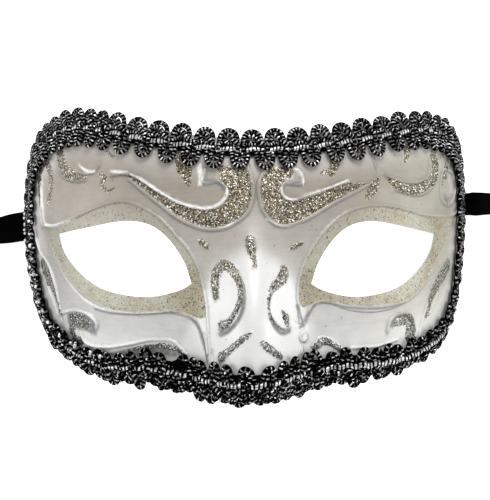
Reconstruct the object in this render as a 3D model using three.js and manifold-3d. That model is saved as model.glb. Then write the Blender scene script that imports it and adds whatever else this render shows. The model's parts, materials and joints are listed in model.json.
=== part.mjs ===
// Venetian half mask: a moulded shell with scroll relief, a gimp braid round its edge and two satin ribbons.
// The mask lies face up on its side rims. Millimetres, +Z out of the face, +Y towards the forehead.
// A place on the face is written [wrap, y]: wrap follows the face round from the nose to each side rim.

import * as THREE from "three";
import { mergeVertices } from "three/addons/utils/BufferGeometryUtils.js";
import Module from "manifold-3d";

const wasm = await Module();
wasm.setup();

// Driving sizes of the shell
const WALL = 1.8;
const WRAP_RADIUS = 82;
const RIM_WRAP = 117;
const FACE_DEPTH = 52;
const HALF_WIDTH = { left: 80.4, right: 81.5 };
const WIDEST_Y = { left: 15, right: 17 };
const TAPER = { left: 0.0034, right: 0.0022 };
const FACE_FALL = 0.003;
const FACE_CREST_Y = 4;

// Nose, running from between the eyes to the bottom edge
const NOSE = { height: 15, startY: 20, fullY: -38, narrow: 16, wide: 22 };

// Shallow hollow round each eye
const SOCKET = { depth: 2, x: 43, y: 1, halfWidth: 28, halfHeight: 20 };

// Top edge dips in the middle; each corner falls away from its own wrap to the side rim
const TOP = { middle: 39.7, peak: 51.2, peakWrap: 95 };
const TOP_CORNER = {
  left: { wrap: 72, drop: 14.8, power: 1.3 },
  right: { wrap: 50, drop: 14.6, power: 2.6 },
};

// Bottom edge is lowest just left of the nose and climbs over the cheeks to the side rim
const BOTTOM = { middle: -49.8, middleWrap: -5, cheek: -43.5, cheekWrap: 47 };
const BOTTOM_CORNER = {
  left: { wrap: 59, rise: 20, power: 1.46 },
  right: { wrap: 39, rise: 22.3, power: 1.73 },
};

// The side rims rest on the table and arch over the ribbons
const ARCH = { rise: 1.3, flat: 6, end: 8 };
const RIM_SLOPE = 0.733;

// Steps of the shell's mesh: close together over the nose, wider over each cheek, and up the face
const MESH = { noseTo: 21, noseStep: 3.5, cheekSteps: 13, rows: 16 };

// Gimp braid, a strip with scalloped edges, drawn in narrower over the cheeks and down the sides
const BRAID = { overhang: 2.3, sideInset: 0.4, lobes: 74, notch: 1.8, base: 0.95, top: 3 };
const BRAID_WIDTH = { forehead: 13.6, nose: 14.2, cheek: 9.8, side: 10 };
const BRAID_ROUNDING = 12;

// Ribbons: width, thickness, the wraps each is glued at, where it leaves the rim and how far it drifts in Y
const RIBBON = { width: 10.8, thickness: 0.5, gluedWraps: [97, 105, 112], clear: 1.2 };
const RIBBON_Y = { left: 10.6, right: 18.5 };
const DRIFT = { left: -3.4, right: 0 };
const DRIFT_FROM = -4;
const DRIFT_TO = 20;

// How many degrees each ribbon has turned on edge at a few distances beyond the rim
const TURN = {
  left: [[4, 0], [10, 26], [18, 45], [32, 90]],
  right: [[3, 0], [7, 40], [12, 46], [26, 90]],
};

// Each ribbon's unseen length, wound up beside the mask
const COIL = { x: 131, outer: 31, inner: 19, height: 11.4, facets: 26 };
const ABOVE_TABLE = 0.1;

const sideOf = (value) => (value < 0 ? "left" : "right");
const lerp = THREE.MathUtils.lerp;
const ramp = (value, from, to) => THREE.MathUtils.smoothstep((value - from) / (to - from), 0, 1);

// Face surface

function halfWidth(y, side) {
  return HALF_WIDTH[side] - TAPER[side] * (y - WIDEST_Y[side]) ** 2;
}

function noseHeight(x, y) {
  const rise = 1 - ramp(y, NOSE.fullY, NOSE.startY);
  const width = lerp(NOSE.wide, NOSE.narrow, ramp(y, -35, 15));
  const across = Math.min(Math.abs(x) / width, 1);
  return NOSE.height * rise * Math.cos((Math.PI / 2) * across) ** 2;
}

function socketDepth(x, y) {
  const across = (Math.abs(x) - SOCKET.x) / SOCKET.halfWidth;
  const up = (y - SOCKET.y) / SOCKET.halfHeight;
  return SOCKET.depth * Math.exp(-(across ** 2 + up ** 2));
}

function facePoint(wrap, y) {
  const angle = wrap / WRAP_RADIUS;
  const rim = RIM_WRAP / WRAP_RADIUS;
  const x = (halfWidth(y, sideOf(wrap)) * Math.sin(angle)) / Math.sin(rim);
  const fullness = (Math.cos(angle) - Math.cos(rim)) / (1 - Math.cos(rim));
  const crest = FACE_DEPTH - FACE_FALL * (y - FACE_CREST_Y) ** 2;
  const z = (crest - socketDepth(x, y)) * fullness + noseHeight(x, y);
  return new THREE.Vector3(x, y, z);
}

function faceSlopes(wrap, y) {
  const step = 0.05;
  const alongWrap = facePoint(wrap + step, y).sub(facePoint(wrap - step, y)).divideScalar(2 * step);
  const alongY = facePoint(wrap, y + step).sub(facePoint(wrap, y - step)).divideScalar(2 * step);
  return { alongWrap, alongY };
}

function faceNormal(wrap, y) {
  const { alongWrap, alongY } = faceSlopes(wrap, y);
  return alongWrap.cross(alongY).normalize();
}

function onFace(wrap, y, lift) {
  return facePoint(wrap, y).addScaledVector(faceNormal(wrap, y), lift);
}

// Step of [wrap, y] that moves one millimetre across a line, to its left
function acrossStep(wrap, y, lineWrap, lineY) {
  const { alongWrap, alongY } = faceSlopes(wrap, y);
  const along = alongWrap.clone().multiplyScalar(lineWrap).addScaledVector(alongY, lineY);
  const across = alongWrap.clone().cross(alongY).cross(along).normalize();
  const ww = alongWrap.dot(alongWrap);
  const wy = alongWrap.dot(alongY);
  const yy = alongY.dot(alongY);
  const aw = across.dot(alongWrap);
  const ay = across.dot(alongY);
  const determinant = ww * yy - wy * wy;
  return [(aw * yy - ay * wy) / determinant, (ay * ww - aw * wy) / determinant];
}

// Outline

function topEdge(wrap) {
  const out = Math.abs(wrap);
  const corner = TOP_CORNER[sideOf(wrap)];
  const fall = Math.max(out - corner.wrap, 0) / (RIM_WRAP - corner.wrap);
  return lerp(TOP.middle, TOP.peak, ramp(out, 0, TOP.peakWrap)) - corner.drop * fall ** corner.power;
}

function bottomEdge(wrap) {
  const out = Math.abs(wrap);
  const corner = BOTTOM_CORNER[sideOf(wrap)];
  const climb = Math.max(out - corner.wrap, 0) / (RIM_WRAP - corner.wrap);
  const fromMiddle = Math.abs(wrap - BOTTOM.middleWrap);
  const below = lerp(BOTTOM.middle, BOTTOM.cheek, ramp(fromMiddle, 0, BOTTOM.cheekWrap));
  return below + corner.rise * climb ** corner.power;
}

function archRise(y, side) {
  const away = Math.abs(y - RIBBON_Y[side]);
  return ARCH.rise * (1 - ramp(away, ARCH.flat, ARCH.end));
}

// Closed meshes and their joins

function closedMesh(points, triangles) {
  const geometry = new THREE.BufferGeometry();
  geometry.setAttribute("position", new THREE.Float32BufferAttribute(points.flatMap((p) => p.toArray()), 3));
  geometry.setIndex(triangles);
  return geometry;
}

function toSolid(geometry) {
  const bare = geometry.clone();
  bare.deleteAttribute("normal");
  bare.deleteAttribute("uv");
  const merged = mergeVertices(bare, 1e-4);
  const vertProperties = new Float32Array(merged.attributes.position.array);
  const triVerts = new Uint32Array(merged.index.array);
  return new wasm.Manifold(new wasm.Mesh({ numProp: 3, vertProperties, triVerts }));
}

function toGeometry(solid) {
  const mesh = solid.getMesh();
  const geometry = new THREE.BufferGeometry();
  geometry.setAttribute("position", new THREE.Float32BufferAttribute(mesh.vertProperties, 3));
  geometry.setIndex(Array.from(mesh.triVerts));
  return geometry;
}

// Strip through equal sections of points, given anticlockwise as seen looking back along the strip.
// Opposite faces split along the same diagonal, so a thin strip keeps its thickness where it twists.
function sweep(sections, closed) {
  const size = sections[0].length;
  const triangles = [];
  const last = closed ? sections.length : sections.length - 1;
  for (let i = 0; i < last; i += 1) {
    const here = i * size;
    const next = ((i + 1) % sections.length) * size;
    for (let j = 0; j < size; j += 1) {
      const k = (j + 1) % size;
      if (2 * j < size) triangles.push(here + j, here + k, next + k, here + j, next + k, next + j);
      else triangles.push(here + j, here + k, next + j, here + k, next + k, next + j);
    }
  }
  if (!closed) {
    const end = last * size;
    for (let j = 1; j < size - 1; j += 1) {
      triangles.push(0, j + 1, j, end, end + j, end + j + 1);
    }
  }
  return closedMesh(sections.flat(), triangles);
}

// Shell

function shellColumns() {
  const columns = [];
  for (let wrap = 0; wrap <= MESH.noseTo; wrap += MESH.noseStep) columns.push(wrap);
  for (let step = 1; step <= MESH.cheekSteps; step += 1) {
    columns.push(MESH.noseTo + (step * (RIM_WRAP - MESH.noseTo)) / MESH.cheekSteps);
  }
  return [...columns.slice(1).reverse().map((wrap) => -wrap), ...columns];
}

function shellBlank() {
  const columns = shellColumns();
  const rows = MESH.rows;
  const outer = [];
  const inner = [];
  columns.forEach((column, i) => {
    const side = sideOf(column);
    const atRim = i === 0 || i === columns.length - 1;
    for (let j = 0; j <= rows; j += 1) {
      const y = lerp(bottomEdge(column), topEdge(column), j / rows);
      const wrap = atRim ? column - Math.sign(column) * (archRise(y, side) / RIM_SLOPE) : column;
      const front = facePoint(wrap, y);
      const back = onFace(wrap, y, -WALL);
      if (atRim) back.z = front.z;
      outer.push(front);
      inner.push(back);
    }
  });
  const triangles = [];
  const quad = (a, b, c, d) => triangles.push(a, b, c, a, c, d);
  const count = outer.length;
  const at = (i, j) => i * (rows + 1) + j;
  const lastColumn = columns.length - 1;
  for (let i = 0; i < lastColumn; i += 1) {
    for (let j = 0; j < rows; j += 1) {
      quad(at(i, j), at(i + 1, j), at(i + 1, j + 1), at(i, j + 1));
      quad(count + at(i, j), count + at(i, j + 1), count + at(i + 1, j + 1), count + at(i + 1, j));
    }
    quad(at(i, 0), count + at(i, 0), count + at(i + 1, 0), at(i + 1, 0));
    quad(at(i, rows), at(i + 1, rows), count + at(i + 1, rows), count + at(i, rows));
  }
  for (let j = 0; j < rows; j += 1) {
    quad(at(0, j), at(0, j + 1), count + at(0, j + 1), count + at(0, j));
    quad(at(lastColumn, j), count + at(lastColumn, j), count + at(lastColumn, j + 1), at(lastColumn, j + 1));
  }
  return toSolid(closedMesh([...outer, ...inner], triangles));
}

// Eye holes, drawn for the right eye and mirrored for the left
const EYE_OUTER = [68.3, 6.9];
const EYE_INNER = [20.8, -10.7];
const UPPER_LID = [[57.7, 9], [43.5, 11.2], [35.5, 9.8], [29.5, 5.5], [23.5, -3]];
const LOWER_LID = [[24, -12.7], [34.7, -15.4], [45, -14.8], [54, -12], [62, -5.7], [66.7, 1]];

function eyeHole(mirror) {
  const place = ([x, y]) => new THREE.Vector2(mirror * x, y);
  const shape = new THREE.Shape();
  shape.moveTo(mirror * EYE_OUTER[0], EYE_OUTER[1]);
  shape.splineThru([...UPPER_LID, EYE_INNER].map(place));
  shape.splineThru([...LOWER_LID, EYE_OUTER].map(place));
  const through = { depth: 90, steps: 1, bevelEnabled: false, curveSegments: 3 };
  const cutter = new THREE.ExtrudeGeometry(shape, through);
  return toSolid(cutter.translate(0, 0, -10));
}

// Raised lines of the relief, each a smooth curve through a few places on the face
const LINE = { width: 2, height: 0.9, flatTop: 0, root: 0.6, step: 4.4 };
const BAND = { width: 3.2, height: 0.7, flatTop: 0.4, root: 0.6, step: 3.5 };

const RAISED_LINES = [
  // upper and lower rims of the eye surrounds
  [
    [-94.1, 9.8], [-84.1, 10], [-72.2, 12.5], [-54.3, 17.5], [-46.2, 18],
    [-35.1, 13.5], [-27, 6], [-20.4, -2.5], [-17.1, -15], [-16.3, -35],
  ],
  [
    [-89, 2.5], [-80.2, -7.5], [-70.2, -14.5], [-57.8, -19.5], [-44.5, -21],
    [-30.7, -20.4], [-22.8, -22.5], [-18.3, -28.5], [-17.3, -35],
  ],
  [
    [17.6, -24], [16.3, -12], [18.9, -2.5], [26.8, 8.5], [34.6, 14.3],
    [45.3, 16.8], [57, 16.2], [72.7, 13.7], [89.6, 13.4],
  ],
  [
    [19.3, -24.5], [22.4, -18.3], [26.8, -17], [38.7, -19.8],
    [49.6, -20.3], [63.5, -17.5], [74.5, -11.5], [83.2, -1.5],
  ],
  // big brow scrolls, outer lines
  [
    [-45.5, 26], [-33.2, 17.2], [-25, 11.5], [-15, 8.2], [-7.5, 9.6],
    [-2, 13.7], [0.3, 20], [0, 25.5], [-1.5, 30],
  ],
  [[5.8, 30], [2.7, 25.5], [2.6, 20], [4.5, 13.5], [9.2, 9.6], [16.8, 10.9], [29.6, 17.7], [46.8, 25.7]],
  // big brow scrolls, inner lines with their curled ends
  [
    [-53.7, 27.4], [-45, 27.5], [-35.3, 22.5], [-25.1, 17.2], [-15.6, 15.2],
    [-10, 17.3], [-8.6, 21.5], [-12.1, 24.8], [-17.1, 24.5], [-16.7, 29],
  ],
  [
    [12.7, 30], [17.1, 28], [17.8, 24.3], [14.9, 24], [11.5, 24.3],
    [10, 21.5], [12.1, 18.6], [19.7, 19.8], [33.2, 24.8],
  ],
  // crescents at the upper corners
  [[-85.1, 33.1], [-82.1, 29], [-77.2, 26.7], [-71.4, 25.6], [-61.9, 28.5], [-59.7, 30.8]],
  [[52, 27.2], [61.6, 25.4], [70.5, 25.9], [76, 28.9], [77.6, 33.8]],
  [[56.6, 22.4], [65.4, 20.9], [73.8, 22], [81.2, 26.7], [84, 33.8]],
  // curls and lines at the lower corners
  [[-87.3, -21.6], [-77.8, -20.4], [-70, -21.7], [-65.4, -25]],
  [[-77.2, -27.5], [-75.6, -32], [-65, -33.6], [-51.3, -32.2], [-39.5, -30.3], [-30.6, -31]],
  [[56.1, -28], [56.8, -24], [62.3, -22], [68.6, -23.3], [72.2, -27.5], [73.8, -30.5]],
  [[39.3, -33.5], [51, -33.3], [62.7, -31]],
  [[-95.4, -1], [-90.1, -4], [-86.4, -9.5], [-85.7, -14.5], [-86.9, -21.5]],
  [[-94.5, -10], [-91.8, -15], [-89.6, -23]],
  [[86.6, -14.5], [81.9, -22]],
  [[23.3, -32.5], [25.1, -30], [27.6, -29.2], [30.5, -31]],
];

const RAISED_BANDS = [
  // curls on the sides of the nose
  [
    [-12.7, -15], [-13.6, -10], [-11.9, -5.3], [-9.6, -3.4], [-6.6, -5.3],
    [-4.2, -11], [-3.9, -17], [-6.2, -22.5], [-10.9, -24.8],
  ],
  [[11.6, -6], [8, -8.5], [5.6, -13.5], [5, -19], [6.9, -24], [11.2, -27]],
  [[12.1, -19.5], [10.9, -23]],
  // strokes under the curls and between the brows
  [[-11.4, -35], [-5.9, -32], [-1.5, -28.5]],
  [[3, -30.7], [9.8, -35]],
  [[-1, 1.8], [0.6, -4]],
  // pearl beside the nose
  [[19, -28], [19.1, -30]],
];

function edgeInset(wrap, y) {
  const side = (RIM_WRAP - Math.abs(wrap)) * RIM_SLOPE;
  return Math.min(side, topEdge(wrap) - y, y - bottomEdge(wrap));
}

function braidWidth(wrap, y) {
  const out = Math.abs(wrap);
  const below = lerp(BRAID_WIDTH.nose, BRAID_WIDTH.cheek, ramp(out, 30, 75));
  const middle = lerp(BRAID_WIDTH.forehead, below, ramp(y, 0, -25));
  return lerp(middle, BRAID_WIDTH.side, ramp(out, 98, 112));
}

// How far in from the edge the braid starts; it hangs over the edge except down the sides
function braidInset(wrap) {
  return lerp(-BRAID.overhang, BRAID.sideInset, ramp(Math.abs(wrap), 98, 114));
}

// The relief sinks into the face before it reaches the braid
function reliefShown(wrap, y) {
  const covered = braidInset(wrap) + braidWidth(wrap, y);
  return ramp(edgeInset(wrap, y) - covered, 0.3, 2.3);
}

function raisedStrip(places, form) {
  const points = places.map(([wrap, y]) => new THREE.Vector3(wrap, y, 0));
  const curve = new THREE.CatmullRomCurve3(points, false, "centripetal");
  const steps = Math.max(2, Math.round(curve.getLength() / form.step));
  const spaced = curve.getSpacedPoints(steps);
  const sections = spaced.map((place, i) => {
    const ahead = spaced[Math.min(i + 1, steps)];
    const behind = spaced[Math.max(i - 1, 0)];
    const [dw, dy] = acrossStep(place.x, place.y, ahead.x - behind.x, ahead.y - behind.y);
    const end = i === 0 || i === steps ? 0.45 : 1;
    const shown = reliefShown(place.x, place.y);
    const half = (form.width / 2) * end;
    const crown = form.height * end * shown - form.root * (1 - shown);
    const at = (offset, lift) => onFace(place.x + dw * offset, place.y + dy * offset, lift);
    const top = form.flatTop > 0 ? [form.flatTop, -form.flatTop] : [0];
    return [at(half, -form.root), ...top.map((part) => at(half * part, crown)), at(-half, -form.root)];
  });
  return toSolid(sweep(sections, false));
}

function maskShell() {
  let shell = shellBlank().subtract(eyeHole(1)).subtract(eyeHole(-1));
  for (const places of RAISED_LINES) shell = shell.add(raisedStrip(places, LINE));
  for (const places of RAISED_BANDS) shell = shell.add(raisedStrip(places, BAND));
  return toGeometry(shell);
}

// Braid

// Edge of the shell as a closed loop, anticlockwise seen from the front
function edgeLoop() {
  const loop = [];
  const wide = 90;
  const tall = 22;
  for (let i = 0; i < wide; i += 1) {
    const wrap = lerp(-RIM_WRAP, RIM_WRAP, i / wide);
    loop.push([wrap, bottomEdge(wrap)]);
  }
  for (let i = 0; i < tall; i += 1) {
    loop.push([RIM_WRAP, lerp(bottomEdge(RIM_WRAP), topEdge(RIM_WRAP), i / tall)]);
  }
  for (let i = 0; i < wide; i += 1) {
    const wrap = lerp(RIM_WRAP, -RIM_WRAP, i / wide);
    loop.push([wrap, topEdge(wrap)]);
  }
  for (let i = 0; i < tall; i += 1) {
    loop.push([-RIM_WRAP, lerp(topEdge(-RIM_WRAP), bottomEdge(-RIM_WRAP), i / tall)]);
  }
  return loop;
}

function roundedLoop(loop, passes) {
  let result = loop;
  for (let pass = 0; pass < passes; pass += 1) {
    const previous = result;
    result = previous.map((place, i) => {
      const before = previous.at(i - 1);
      const after = previous[(i + 1) % previous.length];
      return [0, 1].map((k) => (before[k] + 2 * place[k] + after[k]) / 4);
    });
  }
  return result;
}

function insetLoop(loop, insetAt) {
  return loop.map(([wrap, y], i) => {
    const before = loop.at(i - 1);
    const after = loop[(i + 1) % loop.length];
    const [dw, dy] = acrossStep(wrap, y, after[0] - before[0], after[1] - before[1]);
    const inset = insetAt(wrap, y);
    return [wrap + dw * inset, y + dy * inset];
  });
}

// Places at equal steps of real length round a closed loop on the face
function spacedLoop(loop, count) {
  const points = loop.map(([wrap, y]) => facePoint(wrap, y));
  const lengths = points.map((point, i) => point.distanceTo(points[(i + 1) % points.length]));
  const total = lengths.reduce((sum, length) => sum + length, 0);
  const places = [];
  let segment = 0;
  let passed = 0;
  for (let i = 0; i < count; i += 1) {
    const target = (total * i) / count;
    while (passed + lengths[segment] < target) {
      passed += lengths[segment];
      segment += 1;
    }
    const part = (target - passed) / lengths[segment];
    const next = loop[(segment + 1) % loop.length];
    places.push([0, 1].map((k) => lerp(loop[segment][k], next[k], part)));
  }
  return places;
}

function braidCentre(count) {
  const inset = (wrap, y) => braidWidth(wrap, y) / 2 + braidInset(wrap);
  return spacedLoop(insetLoop(roundedLoop(edgeLoop(), BRAID_ROUNDING), inset), count);
}

function braidTrim() {
  const perLobe = 4;
  const centre = braidCentre(BRAID.lobes * perLobe);
  const notch = (phase) => BRAID.notch * (1 - Math.abs(Math.sin(Math.PI * phase)) ** 0.7);
  const sections = centre.map(([wrap, y], i) => {
    const before = centre.at(i - 1);
    const after = centre[(i + 1) % centre.length];
    const [dw, dy] = acrossStep(wrap, y, after[0] - before[0], after[1] - before[1]);
    const half = braidWidth(wrap, y) / 2;
    const inward = half - notch(i / perLobe + 0.5);
    const outward = notch(i / perLobe) - half;
    const at = (offset, lift) => onFace(wrap + dw * offset, y + dy * offset, lift);
    return [at(inward, BRAID.base), at(inward, BRAID.top), at(outward, BRAID.top), at(outward, BRAID.base)];
  });
  return sweep(sections, true);
}

// Ribbons

// Flat strip through stations of a middle point and the half width across it
function flatStrip(stations) {
  const middle = stations.map((station) => station.point);
  const sections = stations.map(({ point, across }, i) => {
    const ahead = middle[Math.min(i + 1, middle.length - 1)];
    const behind = middle[Math.max(i - 1, 0)];
    const along = ahead.clone().sub(behind).normalize();
    const thick = along.clone().cross(across).normalize().multiplyScalar(RIBBON.thickness / 2);
    const corner = (a, t) => point.clone().addScaledVector(across, a).addScaledVector(thick, t);
    return [corner(1, -1), corner(1, 1), corner(-1, 1), corner(-1, -1)];
  });
  return sweep(sections, false);
}

// From its glued end inside the side wall, under the rim's arch, flat on the table, then turning on edge
function ribbonStations(side) {
  const sign = side === "left" ? -1 : 1;
  const rim = halfWidth(RIBBON_Y[side], side);
  const onTable = RIBBON.thickness / 2 + ABOVE_TABLE;
  const onWall = (wrap) => {
    const place = onFace(sign * wrap, RIBBON_Y[side], -WALL - RIBBON.clear);
    return [Math.abs(place.x), place.z, 0];
  };
  const route = [
    ...RIBBON.gluedWraps.map(onWall),
    [rim - 3, 0.9, 0],
    [rim - 1.8, onTable, 0],
    [rim + TURN[side][0][0], onTable, 0],
  ];
  for (let i = 1; i < TURN[side].length; i += 1) {
    const [fromX, fromDegrees] = TURN[side][i - 1];
    const [toX, toDegrees] = TURN[side][i];
    for (const part of [0.5, 1]) {
      const turn = THREE.MathUtils.degToRad(lerp(fromDegrees, toDegrees, part));
      const height = onTable + (RIBBON.width / 2) * Math.sin(turn);
      route.push([rim + lerp(fromX, toX, part), height, turn]);
    }
  }
  route.push([COIL.x - 9, onTable + RIBBON.width / 2, Math.PI / 2]);
  const drifted = (x) => RIBBON_Y[side] + DRIFT[side] * ramp(x, rim + DRIFT_FROM, rim + DRIFT_TO);
  return route.map(([x, z, turn]) => ({
    point: new THREE.Vector3(sign * x, drifted(x), z),
    across: new THREE.Vector3(0, sign * Math.cos(turn), Math.sin(turn)).multiplyScalar(RIBBON.width / 2),
  }));
}

function ribbonCoil(side) {
  const sign = side === "left" ? -1 : 1;
  const { inner, outer, height } = COIL;
  const ring = [[inner, 0], [outer, 0], [outer, height], [inner, height], [inner, 0]];
  const geometry = new THREE.LatheGeometry(ring.map(([r, h]) => new THREE.Vector2(r, h)), COIL.facets);
  geometry.rotateX(Math.PI / 2);
  geometry.translate(sign * COIL.x, RIBBON_Y[side] + DRIFT[side] - outer + 1, ABOVE_TABLE);
  return geometry;
}

// Named pieces

const SHELL_FINISH = new THREE.MeshStandardMaterial({ color: "#d9d6cd", roughness: 0.35, metalness: 0.25 });
const BRAID_FINISH = new THREE.MeshStandardMaterial({ color: "#6e6e70", roughness: 0.4, metalness: 0.6 });
const RIBBON_FINISH = new THREE.MeshStandardMaterial({ color: "#08080a", roughness: 0.35, metalness: 0 });

function piece(name, geometry, material) {
  const mesh = new THREE.Mesh(geometry, material);
  mesh.name = name;
  return mesh;
}

const mask = new THREE.Group();
mask.add(piece("mask_shell", maskShell(), SHELL_FINISH));
mask.add(piece("braid_trim", braidTrim(), BRAID_FINISH));
for (const side of ["left", "right"]) {
  mask.add(piece(`ribbon_${side}`, flatStrip(ribbonStations(side)), RIBBON_FINISH));
  mask.add(piece(`ribbon_${side}_coil`, ribbonCoil(side), RIBBON_FINISH));
}

export default mask;
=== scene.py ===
import json
import math

import bpy
import numpy as np
from mathutils import Matrix, Vector
from mathutils.geometry import delaunay_2d_cdt
from mathutils.kdtree import KDTree

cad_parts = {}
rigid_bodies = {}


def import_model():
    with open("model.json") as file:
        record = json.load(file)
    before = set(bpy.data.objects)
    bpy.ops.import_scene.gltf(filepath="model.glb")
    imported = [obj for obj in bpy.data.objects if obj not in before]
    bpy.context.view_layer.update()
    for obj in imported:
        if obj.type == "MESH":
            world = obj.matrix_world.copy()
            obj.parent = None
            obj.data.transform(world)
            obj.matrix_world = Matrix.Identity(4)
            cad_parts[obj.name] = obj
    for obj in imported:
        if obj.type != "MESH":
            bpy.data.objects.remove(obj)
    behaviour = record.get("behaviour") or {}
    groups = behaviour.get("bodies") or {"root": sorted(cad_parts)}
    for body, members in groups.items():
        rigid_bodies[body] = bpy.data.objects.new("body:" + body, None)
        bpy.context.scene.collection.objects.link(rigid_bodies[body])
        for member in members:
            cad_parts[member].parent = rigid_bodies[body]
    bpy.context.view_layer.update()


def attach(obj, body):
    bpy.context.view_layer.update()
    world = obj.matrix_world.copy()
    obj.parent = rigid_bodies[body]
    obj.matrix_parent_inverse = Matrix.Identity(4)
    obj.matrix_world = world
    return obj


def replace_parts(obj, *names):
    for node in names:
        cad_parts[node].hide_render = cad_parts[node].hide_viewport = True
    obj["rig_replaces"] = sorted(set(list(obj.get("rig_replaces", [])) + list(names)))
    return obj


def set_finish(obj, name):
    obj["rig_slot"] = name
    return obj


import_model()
MM = 0.001
scene = bpy.context.scene

# Camera, above the mask and a little to its left
CAMERA_PLACE = Vector((-31, 0, 600)) * MM
CAMERA_AIM = Vector((-1.33, 1, 30)) * MM
FOCAL_PIXELS = 1589
PICTURE_WIDTH = 490


def add_camera():
    data = bpy.data.cameras.new("view")
    data.sensor_fit = "HORIZONTAL"
    data.sensor_width = 36
    data.lens = data.sensor_width * FOCAL_PIXELS / PICTURE_WIDTH
    camera = bpy.data.objects.new("view", data)
    back = (CAMERA_PLACE - CAMERA_AIM).normalized()
    right = Vector((0, 1, 0)).cross(back).normalized()
    camera.matrix_world = Matrix((right, back.cross(right), back)).transposed().to_4x4()
    camera.location = CAMERA_PLACE
    scene.collection.objects.link(camera)
    scene.camera = camera


add_camera()

# Face surface, the same as the solid's; a place on it is [wrap, y]
WALL = 1.8
WRAP_RADIUS = 82
RIM_WRAP = 117
FACE_DEPTH = 52
SIGN = {"left": -1, "right": 1}
HALF_WIDTH = {"left": 80.4, "right": 81.5}
WIDEST_Y = {"left": 15, "right": 17}
TAPER = {"left": 0.0034, "right": 0.0022}
FACE_FALL = 0.003
FACE_CREST_Y = 4
NOSE = {"height": 15, "start_y": 20, "full_y": -38, "narrow": 16, "narrow_y": 15, "wide": 22, "wide_y": -35}
SOCKET = {"depth": 2, "x": 43, "y": 1, "half_width": 28, "half_height": 20}


def lerp(start, end, part):
    return start + (end - start) * part


def ramp(value, start, end):
    part = np.clip((np.asarray(value, float) - start) / (end - start), 0, 1)
    return part * part * (3 - 2 * part)


def half_width(wrap, y):
    left, right = (HALF_WIDTH[side] - TAPER[side] * (y - WIDEST_Y[side]) ** 2 for side in SIGN)
    return np.where(wrap < 0, left, right)


def face_point(wrap, y):
    wrap = np.asarray(wrap, float)
    y = np.asarray(y, float)
    angle = wrap / WRAP_RADIUS
    rim = RIM_WRAP / WRAP_RADIUS
    x = half_width(wrap, y) * np.sin(angle) / math.sin(rim)
    fullness = (np.cos(angle) - math.cos(rim)) / (1 - math.cos(rim))
    crest = FACE_DEPTH - FACE_FALL * (y - FACE_CREST_Y) ** 2
    across = (np.abs(x) - SOCKET["x"]) / SOCKET["half_width"]
    up = (y - SOCKET["y"]) / SOCKET["half_height"]
    socket = SOCKET["depth"] * np.exp(-(across**2 + up**2))
    nose_width = lerp(NOSE["wide"], NOSE["narrow"], ramp(y, NOSE["wide_y"], NOSE["narrow_y"]))
    nose_side = np.minimum(np.abs(x) / nose_width, 1)
    nose_rise = NOSE["height"] * (1 - ramp(y, NOSE["full_y"], NOSE["start_y"]))
    nose = nose_rise * np.cos(np.pi / 2 * nose_side) ** 2
    return np.stack([x, y, (crest - socket) * fullness + nose], -1)


def face_slopes(wrap, y):
    step = 0.05
    along_wrap = (face_point(wrap + step, y) - face_point(wrap - step, y)) / (2 * step)
    along_y = (face_point(wrap, y + step) - face_point(wrap, y - step)) / (2 * step)
    return along_wrap, along_y


def unit(vectors):
    return vectors / np.maximum(np.linalg.norm(vectors, axis=-1, keepdims=True), 1e-9)


def on_face(wrap, y, lift):
    normal = unit(np.cross(*face_slopes(wrap, y)))
    return face_point(wrap, y) + normal * np.asarray(lift, float)[..., None]


def across_step(places, ahead):
    """Step of [wrap, y] that moves one millimetre across each direction, to its left."""
    along_wrap, along_y = face_slopes(places[:, 0], places[:, 1])
    along = along_wrap * ahead[:, :1] + along_y * ahead[:, 1:]
    across = unit(np.cross(np.cross(along_wrap, along_y), along))
    ww = (along_wrap**2).sum(-1)
    yy = (along_y**2).sum(-1)
    wy = (along_wrap * along_y).sum(-1)
    aw = (across * along_wrap).sum(-1)
    ay = (across * along_y).sum(-1)
    determinant = ww * yy - wy * wy
    return np.stack([(aw * yy - ay * wy) / determinant, (ay * ww - aw * wy) / determinant], -1)


# Meshes and curves

def add_mesh(name, points, faces, values):
    mesh = bpy.data.meshes.new(name)
    mesh.from_pydata((np.asarray(points) * MM).tolist(), [], [list(face) for face in faces])
    for key, numbers in values.items():
        attribute = mesh.attributes.new(key, "FLOAT", "POINT")
        attribute.data.foreach_set("value", np.asarray(numbers, np.float32))
    mesh.shade_smooth()
    mesh.update()
    piece = bpy.data.objects.new(name, mesh)
    scene.collection.objects.link(piece)
    return piece


def summed(steps):
    """Running total that starts at zero."""
    return np.concatenate([[0], np.cumsum(steps)])


def run_along(points):
    """Length along a line up to each of its points."""
    return summed(np.linalg.norm(np.diff(points, axis=0), axis=1))


def spaced(points, step, closed=False):
    """The same line with points at equal distances, near the step asked for."""
    points = np.asarray(points, float)
    if closed:
        points = np.vstack([points, points[:1]])
    run = run_along(points)
    count = max(2, int(round(run[-1] / step)))
    targets = np.linspace(0, run[-1], count + 1)
    if closed:
        targets = targets[:-1]
    return np.stack([np.interp(targets, run, points[:, k]) for k in range(points.shape[1])], -1)


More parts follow.
